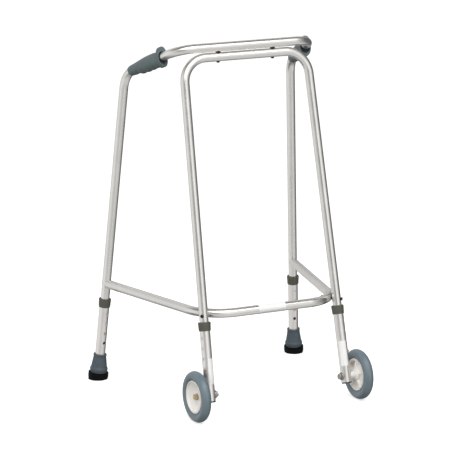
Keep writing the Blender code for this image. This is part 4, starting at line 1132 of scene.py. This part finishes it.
# ---- Axles --------------------------------------------------------------------------------------
# A plated bolt through each front leg, with a saddle washer and its hexagon head inside. Outside
# come a white nylon spacer, the wheel, a washer and a domed brass nut. A black plug ends the leg.
AXLE_RADIUS = 0.004
WHEEL_OFFSET = 0.0356
SPACER_RADIUS = 0.009
SADDLE_RADIUS = 0.010
SADDLE_THICKNESS = 0.002
WASHER_RADIUS = 0.008
WASHER_THICKNESS = 0.0012
HEX_RADIUS = 0.0075
HEAD_HEIGHT = 0.0053
NUT_BODY = 0.0058
NUT_DOME = 0.003
END_PLUG_FLANGE = 0.0035
END_PLUG_STEM = 0.007
LEG_WRAP = 0.7

axle_brass = steel("passivated_brass", "#D2BC94", 0.30, 1300)
for name, side in SIDES.items():
    centre = np.array(joints[f"wheel_{name}_spin"]["pos_m"])
    axle_way = np.array((side, 0.0, 0.0))
    leg_up = leg_axis("front", name)[1]
    bore = AXLE_RADIUS + GAP

    def against_leg(radius, flat_face, direction):
        """A ring round the axle with one face hollowed to the leg: its height is
        sqrt(leg radius^2 - y^2) from the leg's axis, where y is across the leg."""
        near = direction * EXTENSION_RADIUS * LEG_WRAP - WHEEL_OFFSET
        outline = [(bore, near), (radius, near), (radius, flat_face), (bore, flat_face)]
        ring = lathed(softened(outline, 0.0005), 72)
        y = ring[..., 1]
        hollow = -WHEEL_OFFSET + direction * np.sqrt((EXTENSION_RADIUS + GAP) ** 2 - y * y)
        beyond = (ring[..., 2] - hollow) * direction < 0
        ring[..., 2] = np.where(beyond, hollow, ring[..., 2])
        return placed(ring, centre, axle_way, leg_up)

    saddle_face = -WHEEL_OFFSET - EXTENSION_RADIUS - SADDLE_THICKNESS
    saddle = against_leg(SADDLE_RADIUS, saddle_face, -1)
    make_piece(f"axle_saddle_{name}", "hollowed", [saddle], zinc_steel)
    spacer = against_leg(SPACER_RADIUS, BOSS_INNER_FACE - GAP, 1)
    make_piece(f"axle_spacer_{name}", "hollowed", [spacer], hub_nylon)

    low = BOSS_OUTER_FACE + GAP
    high = low + WASHER_THICKNESS
    outline = softened([(bore, low), (WASHER_RADIUS, low), (WASHER_RADIUS, high), (bore, high)], 0.0003)
    washer = placed(lathed(outline), centre, axle_way, UP)
    make_piece(f"axle_washer_{name}", "turned", [washer], zinc_steel)

    nut_low = high + GAP
    nut_high = nut_low + NUT_BODY
    cap = HEX_RADIUS * 0.8
    outline = [(bore, nut_low), (cap, nut_low), (HEX_RADIUS, nut_low), (HEX_RADIUS, nut_high),
               (HEX_RADIUS * 0.78, nut_high), (bore, nut_high)]
    nut = hex_turned(softened(outline, 0.0002, 3), 0.0004)
    a = np.linspace(0, math.pi / 2, 14)[::-1]
    dome = np.stack([cap * np.sin(a), nut_high + NUT_DOME * np.cos(a)], 1)
    cap_shape = lathed([(0, nut_high - 0.0012), (cap, nut_high - 0.0012), *dome.tolist()])
    nut, cap_shape = (placed(part, centre, axle_way, UP) for part in (nut, cap_shape))
    make_piece(f"axle_nut_{name}", "domed", [nut, cap_shape], axle_brass)

    head_face = saddle_face - GAP
    head_end = head_face - HEAD_HEIGHT
    outline = [(0, head_end), (cap, head_end), (HEX_RADIUS, head_end), (HEX_RADIUS, head_face),
               (AXLE_RADIUS, head_face), (0, head_face)]
    head = hex_turned(softened(outline, 0.0002, 3), 0.0004)
    shank_end = nut_high - 2 * GAP
    shank = lathed([(0, head_face - HEAD_HEIGHT / 2), (AXLE_RADIUS, head_face - HEAD_HEIGHT / 2),
                    (AXLE_RADIUS, shank_end), (0, shank_end)])
    head, shank = (placed(part, centre, axle_way, leg_up) for part in (head, shank))
    make_piece(f"axle_bolt_{name}", "hexagon", [head, shank], zinc_steel)

    origin, up, out = leg_frame("front", name)
    low = leg_span("front", name)[0]
    stem = EXTENSION_BORE - GAP
    flange, seat, tip = low - END_PLUG_FLANGE, low - GAP / 2, low + END_PLUG_STEM
    outline = [(0, flange), (EXTENSION_RADIUS, flange), (EXTENSION_RADIUS, seat), (stem, seat),
               (stem, tip), (0, tip)]
    plug = placed(lathed(softened(outline, (0, 0.0012, 0.0002, 0.0002, 0.0006, 0)), 64), origin, up, out)
    make_piece(f"leg_end_plug_{name}", "moulded", [plug], black_nylon)
